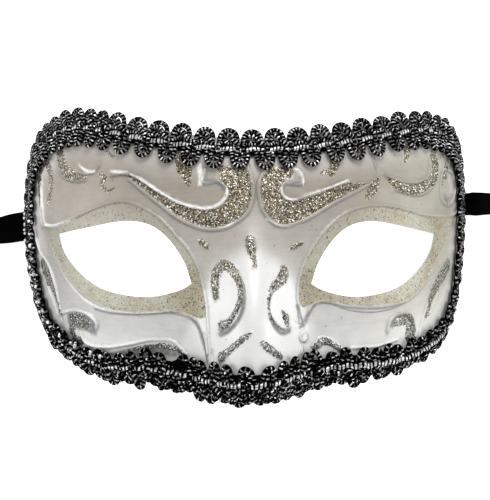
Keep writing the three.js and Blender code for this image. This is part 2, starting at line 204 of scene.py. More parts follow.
def curve_through(places, step):
    """Smooth curve through a few places, as the solid's raised lines are drawn."""
    places = np.asarray(places, float)
    first = 2 * places[0] - places[1]
    last = 2 * places[-1] - places[-2]
    knots = np.vstack([first, places, last])
    curve = []
    for p0, p1, p2, p3 in zip(knots, knots[1:], knots[2:], knots[3:]):
        t1 = math.dist(p0, p1) ** 0.5
        t2 = t1 + math.dist(p1, p2) ** 0.5
        t3 = t2 + math.dist(p2, p3) ** 0.5
        t = np.linspace(t1, t2, 13)[:-1, None]
        a1 = (t1 - t) / t1 * p0 + t / t1 * p1
        a2 = (t2 - t) / (t2 - t1) * p1 + (t - t1) / (t2 - t1) * p2
        a3 = (t3 - t) / (t3 - t2) * p2 + (t - t2) / (t3 - t2) * p3
        b1 = (t2 - t) / t2 * a1 + t / t2 * a2
        b2 = (t3 - t) / (t3 - t1) * a2 + (t - t1) / (t3 - t1) * a3
        curve.append((t2 - t) / (t2 - t1) * b1 + (t - t1) / (t2 - t1) * b2)
    return spaced(np.vstack(curve + [places[-1:]]), step)


def full_turn(count):
    return np.linspace(0, 2 * math.pi, count, endpoint=False)


def tube_faces(rings, sides, closed=False):
    """Quads between rings of points; a tube that isn't closed on itself has a cap at each end."""
    faces = []
    for i in range(rings if closed else rings - 1):
        here = i * sides
        there = (i + 1) % rings * sides
        for j in range(sides):
            k = (j + 1) % sides
            faces.append((here + j, here + k, there + k, there + j))
    if not closed:
        last = (rings - 1) * sides
        faces += [tuple(range(sides))[::-1], tuple(range(last, last + sides))]
    return faces


# Ribbons follow their solids: under the rim, along the table, then wound up standing on edge
RIBBON = {"width": 10.8, "thickness": 0.45, "cells": 8, "step": 1.2, "glued_wraps": [97, 105, 112]}
BEHIND_SHELL = 1.2
ABOVE_TABLE = 0.12
# Behind the rim: how far inside it the ribbon comes down, at what height, and where it reaches the table
COMES_DOWN = (3, 0.9)
REACHES_TABLE = 1.8
RIBBON_Y = {"left": 10.6, "right": 18.5}
# Part of its width that each ribbon keeps where it's gathered under the braid
GATHER = {"left": 1, "right": 0.78}
GATHER_FROM = 3.5
GATHER_TO = 8.5
# How far each ribbon drifts in y beyond the rim
DRIFT = {"left": -3.4, "right": 0}
DRIFT_FROM = -4
DRIFT_TO = 20
# Distances beyond the rim, with the degrees that each ribbon has turned on edge there
TURN = {
    "left": [(4, 0), (10, 26), (18, 45), (32, 90)],
    "right": [(3, 0), (7, 40), (12, 46), (26, 90)],
}
COIL = {"x": 131, "radius": 30, "closer_each_turn": 4.2, "step": 2}
RIBBON_LENGTH = 400
# Degrees above which an edge of a mesh is drawn sharp
SHARP = {"ribbon": 50, "shell": 55}


def ribbon_route(side):
    """Middle line of one ribbon from its glued end, and how far it has turned on edge."""
    sign = SIGN[side]
    y = RIBBON_Y[side]
    rim = float(half_width(sign, y))
    on_table = RIBBON["thickness"] / 2 + ABOVE_TABLE
    route = []
    for wrap in RIBBON["glued_wraps"]:
        x, _, z = on_face(sign * wrap, y, -WALL - BEHIND_SHELL)
        route.append((abs(x), z, 0))
    route += [(rim - COMES_DOWN[0], COMES_DOWN[1], 0), (rim - REACHES_TABLE, on_table, 0)]
    route.append((rim + TURN[side][0][0], on_table, 0))
    for (from_x, from_degrees), (to_x, to_degrees) in zip(TURN[side], TURN[side][1:]):
        for part in (0.5, 1):
            turn = math.radians(lerp(from_degrees, to_degrees, part))
            height = on_table + RIBBON["width"] / 2 * math.sin(turn)
            route.append((rim + lerp(from_x, to_x, part), height, turn))
    route.append((COIL["x"], route[-1][1], math.pi / 2))
    line = [
        (x, y + DRIFT[side] * float(ramp(x, rim + DRIFT_FROM, rim + DRIFT_TO)), z, turn)
        for x, z, turn in route
    ]
    line = spaced(line, RIBBON["step"])
    used = np.linalg.norm(np.diff(line[:, :3], axis=0), axis=1).sum()
    middle_y = y + DRIFT[side] - COIL["radius"]
    angle = 0
    while used < RIBBON_LENGTH:
        radius = COIL["radius"] - COIL["closer_each_turn"] * angle / (2 * math.pi)
        point = (COIL["x"] + radius * math.sin(angle), middle_y + radius * math.cos(angle))
        line = np.vstack([line, (*point, line[-1][2], math.pi / 2)])
        used += math.dist(line[-1][:3], line[-2][:3])
        angle += COIL["step"] / radius
    line[:, 0] *= sign
    return line[:, :3], line[:, 3]


def softened(points, passes):
    points = points.copy()
    for _ in range(passes):
        points[1:-1] = (points[:-2] + 2 * points[1:-1] + points[2:]) / 4
    return points


def add_ribbon(side):
    sign = SIGN[side]
    line, turn = ribbon_route(side)
    line = softened(line, 2)
    along = unit(np.gradient(line, axis=0))
    upright = np.array([0, 0, 1])
    flat = unit(np.cross(upright, along)) * sign
    lean = np.clip(turn, 0, math.pi / 2)[:, None]
    across = unit(flat * np.cos(lean) + upright * np.sin(lean))
    across = unit(across - along * (across * along).sum(-1, keepdims=True))
    thick = unit(np.cross(along, across)) * RIBBON["thickness"] / 2
    rim = float(half_width(sign, RIBBON_Y[side]))
    gather = lerp(GATHER[side], 1, ramp(np.abs(line[:, 0]), rim + GATHER_FROM, rim + GATHER_TO))
    half = (RIBBON["width"] / 2 * gather)[:, None]
    parts = np.linspace(-1, 1, RIBBON["cells"] + 1)
    section = [(part, 1) for part in parts] + [(part, -1) for part in parts[::-1]]
    points = np.stack([line + across * half * part + thick * up for part, up in section], 1)
    values = {
        "along": np.repeat(run_along(line), len(section)),
        "across": np.tile([part for part, _ in section], len(line)),
    }
    faces = tube_faces(len(line), len(section))
    ribbon = add_mesh("satin_ribbon_" + side, points.reshape(-1, 3), faces, values)
    ribbon.data.set_sharp_from_angle(angle=math.radians(SHARP["ribbon"]))
    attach(ribbon, "root")
    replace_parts(ribbon, "ribbon_" + side)
    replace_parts(ribbon, "ribbon_" + side + "_coil")
    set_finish(ribbon, "ribbon")


for side in SIGN:
    add_ribbon(side)

# Outline of the shell, and its side rims that arch over the ribbons
TOP = {"middle": 39.7, "peak": 51.2, "peak_wrap": 95}
TOP_CORNER = {
    "left": {"wrap": 72, "drop": 14.8, "power": 1.3},
    "right": {"wrap": 50, "drop": 14.6, "power": 2.6},
}
BOTTOM = {"middle": -49.8, "middle_wrap": -5, "cheek": -43.5, "cheek_wrap": 47}
BOTTOM_CORNER = {
    "left": {"wrap": 59, "rise": 20, "power": 1.46},
    "right": {"wrap": 39, "rise": 22.3, "power": 1.73},
}
ARCH = {"rise": 1.3, "flat": 6, "end": 8}
RIM_SLOPE = 0.733
# Steps across and up when the edge is drawn, for the shell and for the braid
EDGE_STEPS = {"shell": (180, 44), "braid": (90, 22)}


def corner_part(wrap, corners, amount):
    """How far the edge has moved in each corner at this wrap."""
    moved = 0
    for side, sign in SIGN.items():
        corner = corners[side]
        out = np.maximum(sign * wrap - corner["wrap"], 0) / (RIM_WRAP - corner["wrap"])
        moved = moved + corner[amount] * out ** corner["power"]
    return moved


def top_edge(wrap):
    crest = lerp(TOP["middle"], TOP["peak"], ramp(np.abs(wrap), 0, TOP["peak_wrap"]))
    return crest - corner_part(wrap, TOP_CORNER, "drop")


def bottom_edge(wrap):
    from_middle = np.abs(wrap - BOTTOM["middle_wrap"])
    low = lerp(BOTTOM["middle"], BOTTOM["cheek"], ramp(from_middle, 0, BOTTOM["cheek_wrap"]))
    return low + corner_part(wrap, BOTTOM_CORNER, "rise")


def edge_loop(wide, tall):
    """Edge of the shell as a closed loop of [wrap, y], anticlockwise seen from the front."""
    across = np.linspace(-RIM_WRAP, RIM_WRAP, wide + 1)[:-1]
    up = np.arange(tall) / tall
    rim = np.full(tall, RIM_WRAP)
    right = lerp(bottom_edge(RIM_WRAP), top_edge(RIM_WRAP), up)
    left = lerp(top_edge(-RIM_WRAP), bottom_edge(-RIM_WRAP), up)
    return np.concatenate([
        np.stack([across, bottom_edge(across)], -1),
        np.stack([rim, right], -1),
        np.stack([-across, top_edge(-across)], -1),
        np.stack([-rim, left], -1),
    ])


def arched(loop):
    """The loop with its side rims drawn up where a ribbon passes under them."""
    loop = loop.copy()
    for side, sign in SIGN.items():
        at_rim = sign * loop[:, 0] > RIM_WRAP - 0.01
        away = np.abs(loop[:, 1] - RIBBON_Y[side])
        rise = ARCH["rise"] * (1 - ramp(away, ARCH["flat"], ARCH["end"]))
        loop[:, 0] -= np.where(at_rim, sign * rise / RIM_SLOPE, 0)
    return loop


# Eye holes, drawn in x and y for the right eye and mirrored for the left
EYE_OUTER = [68.3, 6.9]
EYE_INNER = [20.8, -10.7]
UPPER_LID = [[57.7, 9], [43.5, 11.2], [35.5, 9.8], [29.5, 5.5], [23.5, -3]]
LOWER_LID = [[24, -12.7], [34.7, -15.4], [45, -14.8], [54, -12], [62, -5.7], [66.7, 1]]


def place_under(goal, start, lift):
    """Place whose point at this lift has the x and y asked for."""
    place = start.copy()
    for _ in range(6):
        reached = on_face(*place.T, lift)
        slope = face_slopes(*place.T)[0][:, 0]
        place[:, 0] += (goal[:, 0] - reached[:, 0]) / np.maximum(slope, 0.2)
        place[:, 1] += goal[:, 1] - reached[:, 1]
    return place


def eye_loop(sign, step):
    """Edge of one eye hole in x and y."""
    upper = curve_through([EYE_OUTER] + UPPER_LID + [EYE_INNER], step)
    lower = curve_through([EYE_INNER] + LOWER_LID + [EYE_OUTER], step)
    return np.vstack([upper[:-1], lower[:-1]]) * [sign, 1]


# Relief lines, each a smooth curve through a few places on the face: the rims of the eyes and the
# scrolls by name, then the rest, which start with their half width and height
EYE_RIM = {
    "left_upper": [
        [-94.1, 9.8], [-84.1, 10], [-72.2, 12.5], [-54.3, 17.5], [-46.2, 18], [-35.1, 13.5], [-27, 6],
        [-20.4, -2.5], [-17.1, -15], [-16.3, -35],
    ],
    "left_lower": [
        [-89, 2.5], [-80.2, -7.5], [-70.2, -14.5], [-57.8, -19.5], [-44.5, -21], [-30.7, -20.4],
        [-22.8, -22.5], [-18.3, -28.5], [-17.3, -35],
    ],
    "right_upper": [
        [17.6, -24], [16.3, -12], [18.9, -2.5], [26.8, 8.5], [34.6, 14.3], [45.3, 16.8], [57, 16.2],
        [72.7, 13.7], [89.6, 13.4], [108, 15.3],
    ],
    "right_lower": [
        [19.3, -24.5], [22.4, -18.3], [26.8, -17], [38.7, -19.8], [49.6, -20.3], [63.5, -17.5],
        [74.5, -11.5], [83.2, -1.5],
    ],
}
SCROLL = {
    "left_outer": [
        [-45.5, 26], [-33.2, 17.2], [-25, 11.5], [-15, 8.2], [-7.5, 9.6], [-2, 13.7], [0.3, 20],
        [0, 25.5], [-1.5, 30],
    ],
    "left_inner": [
        [-53.7, 27.4], [-45, 27.5], [-35.3, 22.5], [-25.1, 17.2], [-15.6, 15.2], [-10, 17.3],
        [-8.6, 21.5], [-12.1, 24.8], [-17.1, 24.5], [-16.7, 29],
    ],
    "right_outer": [
        [46.8, 25.7], [29.6, 17.7], [16.8, 10.9], [9.2, 9.6], [4.5, 13.5], [2.6, 20], [2.7, 25.5],
        [5.8, 30],
    ],
    "right_inner": [
        [33.2, 24.8], [19.7, 19.8], [12.1, 18.6], [10, 21.5], [11.5, 24.3], [14.9, 24], [17.8, 24.3],
        [17.1, 28], [12.7, 30],
    ],
}
SCROLL_FILL = {
    "left": SCROLL["left_inner"][:7] + [[-11.6, 25.4], [-13, 31]],
    "right": SCROLL["right_inner"][:5] + [[14.4, 26], [15, 31]],
}
LINES = [
    # crescents at the upper corners
    (0.65, 0.55, [[-85.1, 33.1], [-82.1, 29], [-77.2, 26.7], [-71.4, 25.6], [-66, 25.8]]),
    (0.7, 0.65, [[-70, 28.8], [-66, 28.2], [-61.9, 28.7], [-59.7, 30.8]]),
    (0.7, 0.65, [[52, 27.2], [61.6, 25.4], [70.5, 25.9], [76, 28.9], [77.6, 33.8]]),
    (0.65, 0.55, [[56.6, 22.4], [65.4, 20.9], [73.8, 22], [81.2, 26.7], [84, 33.8]]),
    (0.6, 0.35, [[46.3, 33.4], [47.6, 29.6]]),
    (0.8, 0.35, [[85, 24.1], [87.6, 29.7], [94.5, 30.7], [102, 29.2], [105, 23.6], [98.5, 18.9],
                 [90.6, 18], [85.6, 20.1], [85, 24.1]]),
    (0.8, 0.6, [[-98.9, 25.7], [-96.7, 19.4], [-97.6, 15], [-96.7, 10.2]]),
    # curls and lines at the lower corners
    (0.7, 0.65, [[-87.3, -21.6], [-77.8, -20.4], [-70, -21.7], [-65.4, -25], [-66.5, -26.8]]),
    (0.7, 0.65, [[-77.2, -27.5], [-75.6, -32], [-65, -33.6], [-51.3, -32.2], [-39.5, -30.3],
                [-30.6, -31], [-26.5, -35]]),
    (0.7, 0.65, [[56.1, -28], [56.8, -24], [62.3, -22], [68.6, -23.3], [72.2, -27.5], [73.8, -30.5]]),
    (0.65, 0.5, [[39.3, -33.5], [51, -33.3], [62.7, -31]]),
    (0.7, 0.75, [[-116, 20.5], [-109.7, 14.1], [-105.2, 6.6], [-99.9, 0.3], [-93.3, -3.4], [-90.1, -8.1],
                [-88.6, -13.5], [-88.6, -20.8], [-89.4, -23.8]]),
    (0.65, 0.7, [[-96.6, -9.2], [-95.6, -13.6], [-93, -18.3], [-91.4, -22.3]]),
    (0.65, 0.55, [[87.7, -14.4], [81.9, -22]]),
    (0.65, 0.5, [[79.1, -18.3], [77.1, -24.5], [76.9, -30.3]]),
    (0.6, 0.6, [[23.3, -32.5], [25.1, -30], [27.6, -29.2], [30.5, -31]]),
    (0.5, 0.5, [[16.2, -18.1], [17.5, -21.6], [18.9, -25.1]]),
    (0.5, 0.5, [[21, -20.6], [19.2, -23.4], [17.7, -25.8]]),
    # rim of the small ball beside the nose and the cone below it
    (0.4, 0.35, [[17.7, -29], [19.3, -27], [20.9, -29], [19.3, -31], [17.7, -29]]),
    (0.4, 0.35, [[18.4, -31.2], [17.9, -33.2], [16.9, -36]]),
    (0.4, 0.35, [[19.8, -31.2], [20, -33.2], [20.6, -36]]),
]

# Brushed strokes of glitter, of white paint as painted highlights, and of grey paint and painted shade:
# places with the half width at each
RAISED_GLITTER = [
    # the two nose curls and the drop between them
    [[-13.2, -15.2, 1.2], [-13.4, -10.4, 1.7], [-12.6, -6.6, 1.9], [-10.1, -4.2, 1.9], [-7.3, -5.9, 1.7],
     [-5.3, -9.3, 1.3], [-4.4, -13.4, 1.1], [-5.2, -17.4, 1.1], [-7.1, -21.2, 1.1], [-9.3, -24, 1.4],
     [-11.5, -25.1, 2]],
    [[11.1, -5.6, 1.6], [10.7, -8.4, 2.2], [8.5, -10.7, 1.8], [6.3, -13.1, 1.2], [5.5, -16.1, 0.8],
     [5.5, -19.8, 0.6], [6.6, -22.6, 0.7], [8.6, -25, 0.7], [10.9, -26.5, 0.7]],
    [[10.4, -20.3, 0.8], [12, -22.5, 1.5], [12.5, -24.5, 1.1]],
    [[-0.9, 4.4, 1.6], [-0.6, 1.6, 1.8], [0, -1.1, 0.9], [0.7, -3.2, 0.7], [0.3, -4.9, 0.7]],
    # slanting bars at the nose tip, the arch beside it and marks on the bridge
    [[-12.4, -36.2, 1.7], [-8.9, -33.2, 1.2], [-5.1, -30, 1.1], [-1.5, -27.5, 0.8]],
    [[2.9, -30.6, 0.9], [4.8, -32, 1.5], [7.6, -33.9, 1.3], [10.5, -35.8, 1.1]],
    [[24.3, -33, 1.5], [27.3, -30.9, 1.5], [30.7, -31.7, 1.1], [33.9, -33.5, 1.1], [37.2, -35.4, 1.1]],
    [[-18.4, 4.1, 0.7], [-16.6, 2.7, 1.2], [-15.6, 1.7, 0.5]],
    [[13.3, 1.3, 0.4], [15.5, 2.4, 1.1], [17.6, 3.4, 0.6]],
]
FLAT_GLITTER = [
    # crescents and streaks at the upper corners
    [[-83.9, 36.5, 1.9], [-81.5, 32.8, 2.1], [-77.4, 29.4, 2], [-72.1, 27.1, 1.7], [-66.4, 26.6, 0.8]],
    [[-94.3, 33, 1.7], [-90.4, 29.4, 1.6], [-88.8, 25.7, 1.6], [-89, 22, 1.5], [-90.6, 18.1, 0.9]],
    [[-98.3, 31.9, 1.4], [-101.7, 28.7, 1.8], [-100.3, 25, 1.7], [-99.2, 20.5, 1.2], [-98.3, 17.2, 0.8]],
    [[-58.4, 28.2, 0.8], [-56.6, 26.4, 1], [-57.6, 24.3, 0.8], [-56.7, 22.5, 0.6], [-54.3, 22, 0.6],
     [-52, 22.9, 0.4]],
    [[-57.9, 36.8, 0.4], [-52.8, 33.8, 0.5]],
    [[52.6, 26.2, 0.8], [57.5, 23.8, 1.6], [65, 22.6, 1.9], [72.6, 24.2, 2], [79.3, 27.3, 2.2],
     [81.5, 31.7, 2], [80.6, 36.1, 2]],
    [[63.4, 37.3, 1.9], [63.1, 34.8, 1.3], [61.8, 32.9, 0.6]],
    [[92.3, 31.8, 1.4], [89.4, 28.3, 1.3], [86.9, 25.3, 0.8]],
    # hooks under the braid beside the scrolls
    [[-24.7, 32.3, 3], [-24.2, 29.5, 2.7], [-23.4, 26.7, 1.9], [-22.3, 23.5, 0.7]],
    [[30.6, 33.2, 1.8], [29.7, 30.4, 1.8], [28.5, 27.6, 1.3]],
    [[25.1, 27.9, 0.7], [26.6, 28.2, 0.5]],
    [[47.4, 25.4, 1.4], [46, 23.3, 1.9], [43.3, 20, 1.3]],
    # curls, sides and the dusting along the lower braid
    [[-80.8, -23.2, 1.4], [-75.6, -24.2, 2.7], [-72.2, -25.5, 2.2]],
    [[-80.2, -25, 1.9], [-83.5, -28, 1.6], [-82.6, -30.5, 1.6], [-79.1, -31.9, 1.8]],
    [[60.4, -25.5, 1.3], [64.1, -23.8, 2.1], [68.8, -25, 2.2], [68.9, -27.9, 1.8], [70.5, -30.9, 2.3],
     [73.5, -33.1, 1.9]],
    [[-98, -4.8, 3.2], [-94.8, -8.6, 2.8], [-91, -13.5, 1.7], [-89.6, -18, 1.1], [-89.4, -22.3, 0.9]],
    [[95.8, -4.5, 2.6], [91.9, -7.1, 3], [86.8, -10.8, 2.4], [82.3, -15.4, 1.8], [80.6, -19.6, 1.4],
     [79.6, -23.6, 0.9]],
    [[-52, -34.4, 0.3], [-47.2, -33.8, 0.5], [-40.1, -32.9, 0.8], [-33.2, -32.9, 1], [-29.2, -34, 1],
     [-27, -35.7, 0.5]],
]
# Painted highlights: white strokes where the crests and temples catch the light, and a pale strip beside the
# braid
HIGHLIGHT_STROKES = [
    # painted highlights on the crests of the forehead scrolls
    [[-44.8, 27.6, 0.4], [-39.8, 25.4, 0.7], [-34.2, 21.9, 0.8], [-28.1, 18.3, 0.8], [-21.9, 16.2, 0.8],
     [-16.1, 15.5, 0.8], [-11.6, 16.9, 0.8], [-9.1, 19.6, 0.8], [-8.4, 22.8, 0.7]],
    [[-18.8, 30.1, 1.1], [-18, 26.6, 1.2], [-18.3, 24.2, 0.9]],
    [[-11.6, 8.9, 0.5], [-8.4, 9.6, 0.9], [-5.7, 11.3, 0.7]],
    [[12.7, 29.5, 0.5], [15.2, 29.1, 0.9], [17.6, 26.4, 0.7], [18, 23.6, 0.5]],
    [[10.8, 25.6, 0.7], [13.7, 26, 0.7]],
    [[10.1, 22.5, 0.6], [10.8, 20, 0.6], [13.2, 18.5, 0.7], [15.7, 18.3, 0.5]],
    [[18.3, 19.9, 0.4], [23.4, 21.5, 0.5], [28.7, 23.2, 0.5], [34.3, 25.2, 0.6]],
    [[4.8, 11.7, 0.4], [7.9, 10, 0.4], [12.5, 9.1, 0.3], [17.5, 9.8, 0.2]],
    # upper corners and temples
    [[-69.7, 31, 0.5], [-65.6, 29.1, 0.8], [-61.4, 28.8, 0.7]],
    [[-53.2, 28.8, 0.8], [-49.6, 28.4, 0.8], [-46.1, 28.4, 0.4]],
    [[-98.5, 30.3, 0.4], [-97.5, 24.9, 0.8], [-95.8, 17.5, 0.9], [-94.3, 11.5, 0.9], [-87.3, 9.7, 0.8],
     [-78.4, 10.7, 0.7], [-71.4, 12.1, 0.4]],
    [[106.1, 28.9, 1.5], [106.6, 19.9, 1.9], [107.2, 9.3, 2]],
    # lower rims, curls and the line above the lower braid
    [[-87, -0.5, 0.5], [-80.5, -8.6, 0.6], [-72, -15.5, 0.7], [-67.3, -17.9, 0.8], [-61.7, -19.6, 0.8],
     [-54.8, -20.6, 0.7], [-45, -21, 0.5], [-34, -20.6, 0.4]],
    [[-23.2, -21.3, 0.4], [-20.2, -23.3, 0.6], [-18.2, -27.1, 0.6]],
    [[-83.7, -21.1, 0.6], [-76.9, -20.6, 0.5], [-71.3, -21.2, 0.6], [-67.5, -22.5, 0.8],
     [-65.9, -24.7, 0.8]],
    [[-75.8, -30.7, 0.7], [-74.1, -32.8, 1.1], [-69.5, -34.1, 0.9], [-61.2, -33.9, 0.6],
     [-52.9, -32.6, 0.6], [-45.4, -31.4, 0.7], [-38.5, -30.7, 0.7], [-32.2, -31.2, 0.5],
     [-28.3, -33.3, 0.5]],
    [[-111.6, 22.3, 0.6], [-110.2, 17.8, 1.2], [-108.2, 13.3, 1.3], [-105.9, 7.5, 1.1], [-99.9, 0.3, 0.7],
     [-93.3, -3.4, 0.7], [-89.8, -8.1, 0.7], [-88.3, -13.5, 0.7], [-88.3, -20.8, 0.6]],
    [[-105, -8, 1.2], [-104.4, -15.6, 1.6], [-103, -21.2, 1.6]],
    [[-96.4, -9.2, 0.5], [-95.3, -13.6, 0.7], [-92.7, -18.3, 0.6], [-91.2, -22.3, 0.5]],
    [[-17.1, -12.9, 0.4], [-16.7, -19.8, 0.5], [-16.3, -26.7, 0.5]],
    [[76.1, -28.1, 0.6], [78.2, -23, 0.6], [81.2, -17.3, 0.6]],
    [[38.3, -34, 0.5], [43.9, -34.6, 0.6], [51.1, -34.3, 0.6], [57.8, -33.4, 0.6], [63.1, -31.7, 0.9],
     [66.2, -29.6, 0.7]],
    [[23.4, -32.3, 0.4], [26, -29.8, 0.4], [30, -29.6, 0.4], [34.6, -32.5, 0.4], [37.9, -34.3, 0.5]],
]
# Bare flanks of the nose curls, and the small ball and cone beside the nose
PLAIN_SWELLINGS = [
    [[-5.3, -6.9, 0.5], [-3.6, -11, 0.7], [-3.4, -16.1, 0.8], [-4.2, -20.1, 0.8], [-6.4, -23.9, 0.8],
     [-9.4, -26.7, 0.9], [-12, -27.9, 1]],
    [[-13.5, -12.8, 1.2], [-13.2, -15.5, 1.2]],
    [[5.9, -22.2, 0.6], [7.8, -25.3, 0.8], [10.6, -27.2, 1.1], [13.3, -26.6, 1.1]],
    [[19.1, -28.3, 1.9], [19.6, -29.7, 1.9]],
    [[19, -32.1, 0.6], [18.3, -34.9, 1.5]],
    [[94, 26.5, 3.4], [95, 22.5, 3.2]],
]
# Grey paint and painted shade: the bare flanks of the nose curls, the undersides of crests and rims, and the
# strip along the lower braid
GREY_AND_SHADE_STROKES = PLAIN_SWELLINGS[:3] + [
    # painted shade under the crests of the forehead
    [[-80.8, 29.1, 0.5], [-76.4, 26.9, 0.6], [-71.4, 25.7, 0.5], [-65.8, 25.9, 0.3]],
    [[-52.6, 27.1, 0.3], [-49.1, 27.3, 0.5], [-46.5, 26.6, 0.4]],
    [[-43.1, 25.5, 0.3], [-36.9, 21.9, 0.4], [-31.1, 18.5, 0.4], [-24.8, 15.5, 0.4], [-18.3, 14.3, 0.4],
     [-13.3, 14.8, 0.3]],
    [[-17.3, 30.1, 0.3], [-17.3, 25.6, 0.4], [-14.1, 24.9, 0.4], [-11.2, 24.2, 0.5], [-9.1, 21.7, 0.4]],
    [[51.2, 27.3, 0.5], [54, 25.9, 0.5], [57.4, 23.1, 0.4], [63.8, 21.3, 0.4], [72.5, 22, 0.4]],
    [[89.6, 20.6, 1.1], [91.8, 18.4, 0.9]],
    [[46.5, 33.6, 0.3], [47.7, 30.4, 0.3]],
    [[14, 23.9, 0.6], [16.2, 24.3, 0.6]],
    # grey paint and painted shade under the lower rims, in the curls and along the lower braid
    [[-65.1, -20, 0.5], [-57.4, -21.1, 0.6], [-48, -21.5, 0.6], [-39.2, -21.4, 0.5], [-30.9, -20.8, 0.5],
     [-25, -20.8, 0.5], [-22.1, -22.7, 0.8], [-20, -25.6, 0.9], [-18.9, -29.5, 1], [-18.2, -33.5, 0.7],
     [-17.7, -37.5, 0.5]],
    [[-82.5, -24, 2.3], [-76, -24.6, 3.2], [-70, -26, 2.6], [-68.5, -28, 1.5]],
    [[-62, -36.4, 0.8], [-54.2, -35.6, 1.4], [-46.1, -34.8, 2], [-36.8, -34.2, 2.2], [-30.5, -35, 1.8]],
    [[20, -24.1, 0.5], [21.7, -20, 0.5], [23.5, -17.5, 0.5], [28.2, -17.6, 0.5], [35.2, -19, 0.4],
     [44, -19.7, 0.4], [53.5, -19.5, 0.4], [64.1, -18, 0.4]],
    [[58.3, -26.2, 0.8], [59.4, -23.3, 0.8], [64.3, -22.2, 0.6], [69.7, -23.6, 0.7], [72.4, -28, 0.7]],
    [[16.2, -18.1, 0.5], [17.5, -21.6, 0.5], [18.9, -25.1, 0.5]],
    [[21, -20.6, 0.5], [19.2, -23.4, 0.5], [17.7, -25.8, 0.5]],
    [[17.5, -29.6, 0.2], [18.2, -30.9, 0.3], [19.6, -31.2, 0.4], [20.9, -30, 0.4], [21.1, -28.4, 0.2]],
]

EYE_RIM_SIZE = (0.6, 0.55)
SCROLL_SIZE = (0.8, 0.85)
SWELLING = 0.7
RIDGE_POWER = 0.65
# Depths inside a stroke over which its relief or its paint comes in
STROKE_EDGE = {"swelling": (-0.1, 0.9), "highlight_white": (-0.1, 0.6), "grey_and_shade": (-0.4, 0.4)}
# Shade at the foot of a ridge: distance from its middle and width, in half widths of the ridge, how
# dark it is, and what is left of it above the ridge; a point this much higher tells the two sides apart
FOOT = {"at": 1.2, "width": 0.4, "dark": 0.8, "above": 0.3, "higher": 0.5, "sides": (-0.3, 0.3)}
# Bare edge of a scroll's glitter
FILL_INSET = 0.5
# Pale ground of the eyes: how far down it goes beside the nose, and the depth it loses below that
GROUND = {"left": 22, "right": 18, "middle": (-1, 1), "fade": (-1, 3), "loss": 4}
# Darker, more olive corners beside the nose, and the white over the nose, partly a painted highlight, whose
# upper edge is an arch
OLIVE_CORNER = {"out": (20, 33), "down": (2, 9)}
NOSE_WHITENING = {"bend": 0.055, "down": (-7, 5), "out": (16, 42)}
# Distances over which the relief rises from the braid and from an eye hole, and the painted light that lifts
# the shade along the edge fades
RELIEF_FROM_EDGE = (3, 6)
RELIEF_FROM_EYE = (0, 0.8)
EDGE_LIGHT_FADE = (7, 19)
EDGE_REACH = 22
# Rows of mesh points beside a line, and beside a stroke, as parts of its half width
ROWS = (0, 0.3, 0.55, 0.8, 1, 1.3, 1.8)
STROKE_ROWS = (0, 0.5, 1, 1.5)
# Steps along drawn curves, and distances between mesh points
LINE_STEP = 0.55
STROKE_STEP = 0.6
AREA_STEP = 0.8
DETAIL_GAP = 0.3
FILLER_GAP = 0.9
FRONT_SPACING = 1.3
BACK_SPACING = 3
FACE_REACH = 56
HEXAGON_ROW = 0.866
EYE_STEP = 0.5
EDGE_STEP = 1.2
# First guesses at the wrap of an eye hole's edge, as parts of its x
EYE_GUESS = {"front": 1.05, "back": 1.08}
# Distance beyond which a point counts as far from a line or area, and points measured at once
FAR = 9
GROUP_SIZE = 2000


def relief_lines():
    lines = [(*EYE_RIM_SIZE, places) for places in EYE_RIM.values()]
    lines += [(*SCROLL_SIZE, places) for places in SCROLL.values()]
    lines += LINES
    return [(half, height, curve_through(places, LINE_STEP)) for half, height, places in lines]


def curves_of(strokes):
    return [curve_through(stroke, STROKE_STEP) for stroke in strokes]


def rows_beside(curve, half, parts):
    """Places in rows on both sides of a curve, at parts of its half width."""
    step = across_step(curve, np.gradient(curve[:, :2], axis=0)) * np.reshape(half, (-1, 1))
    sides = sorted({sign * part for part in parts for sign in (-1, 1)})
    return np.vstack([curve[:, :2] + step * side for side in sides])


def depth_in_line(points, line, half, far=FAR):
    """Depth of points inside a line of this half width, in millimetres; minus far well outside."""
    result = np.full(len(points), -float(far))
    low = line.min(0) - far
    high = line.max(0) + far
    near = np.flatnonzero(((points > low) & (points < high)).all(1))
    start = line[:-1]
    step = np.diff(line, axis=0)
    length = np.maximum((step**2).sum(1), 1e-9)
    half = np.broadcast_to(half, len(line))
    for group in np.array_split(near, max(1, len(near) // GROUP_SIZE)):
        to_point = points[group][:, None, :] - start[None]
        part = np.clip((to_point * step).sum(-1) / length, 0, 1)
        gap = np.linalg.norm(to_point - part[..., None] * step, axis=-1)
        depth = half[:-1] + np.diff(half) * part - gap
        result[group] = np.maximum(depth.max(1), -far)
    return result


def distance_to_line(points, line, far=FAR):
    return -depth_in_line(points, line, 0, far)


def is_inside(places, polygon):
    inside = np.zeros(len(places), bool)
    x, y = places[:, 0], places[:, 1]
    for (ax, ay), (bx, by) in zip(polygon, np.roll(polygon, -1, 0)):
        if ay != by:
            crosses = (ay > y) != (by > y)
            inside ^= crosses & (x < (bx - ax) * (y - ay) / (by - ay) + ax)
    return inside


def thinned(places, gap):
    """One place for each square of this size."""
    _, chosen = np.unique(np.round(places / gap).astype(int), axis=0, return_index=True)
    return places[np.sort(chosen)]


def clear_of(places, others, gap):
    """The places that are further than this from all the others."""
    tree = KDTree(len(others))
    for index, (x, y) in enumerate(others.tolist()):
        tree.insert((x, y, 0), index)
    tree.balance()
    return np.array([place for place in places.tolist() if tree.find((*place, 0))[2] > gap])


def hexagons(spacing):
    """Evenly spread places over the whole face."""
    rows = np.arange(-FACE_REACH, FACE_REACH, spacing * HEXAGON_ROW)
    columns = np.arange(-RIM_WRAP, RIM_WRAP, spacing)
    return np.vstack([
        np.stack([columns + spacing / 2 * (i % 2), np.full(len(columns), y)], -1)
        for i, y in enumerate(rows)
    ])


def within_shell(places, outline, eyes):
    inside = is_inside(places, outline)
    for eye in eyes:
        inside &= ~is_inside(places, eye)
    return inside


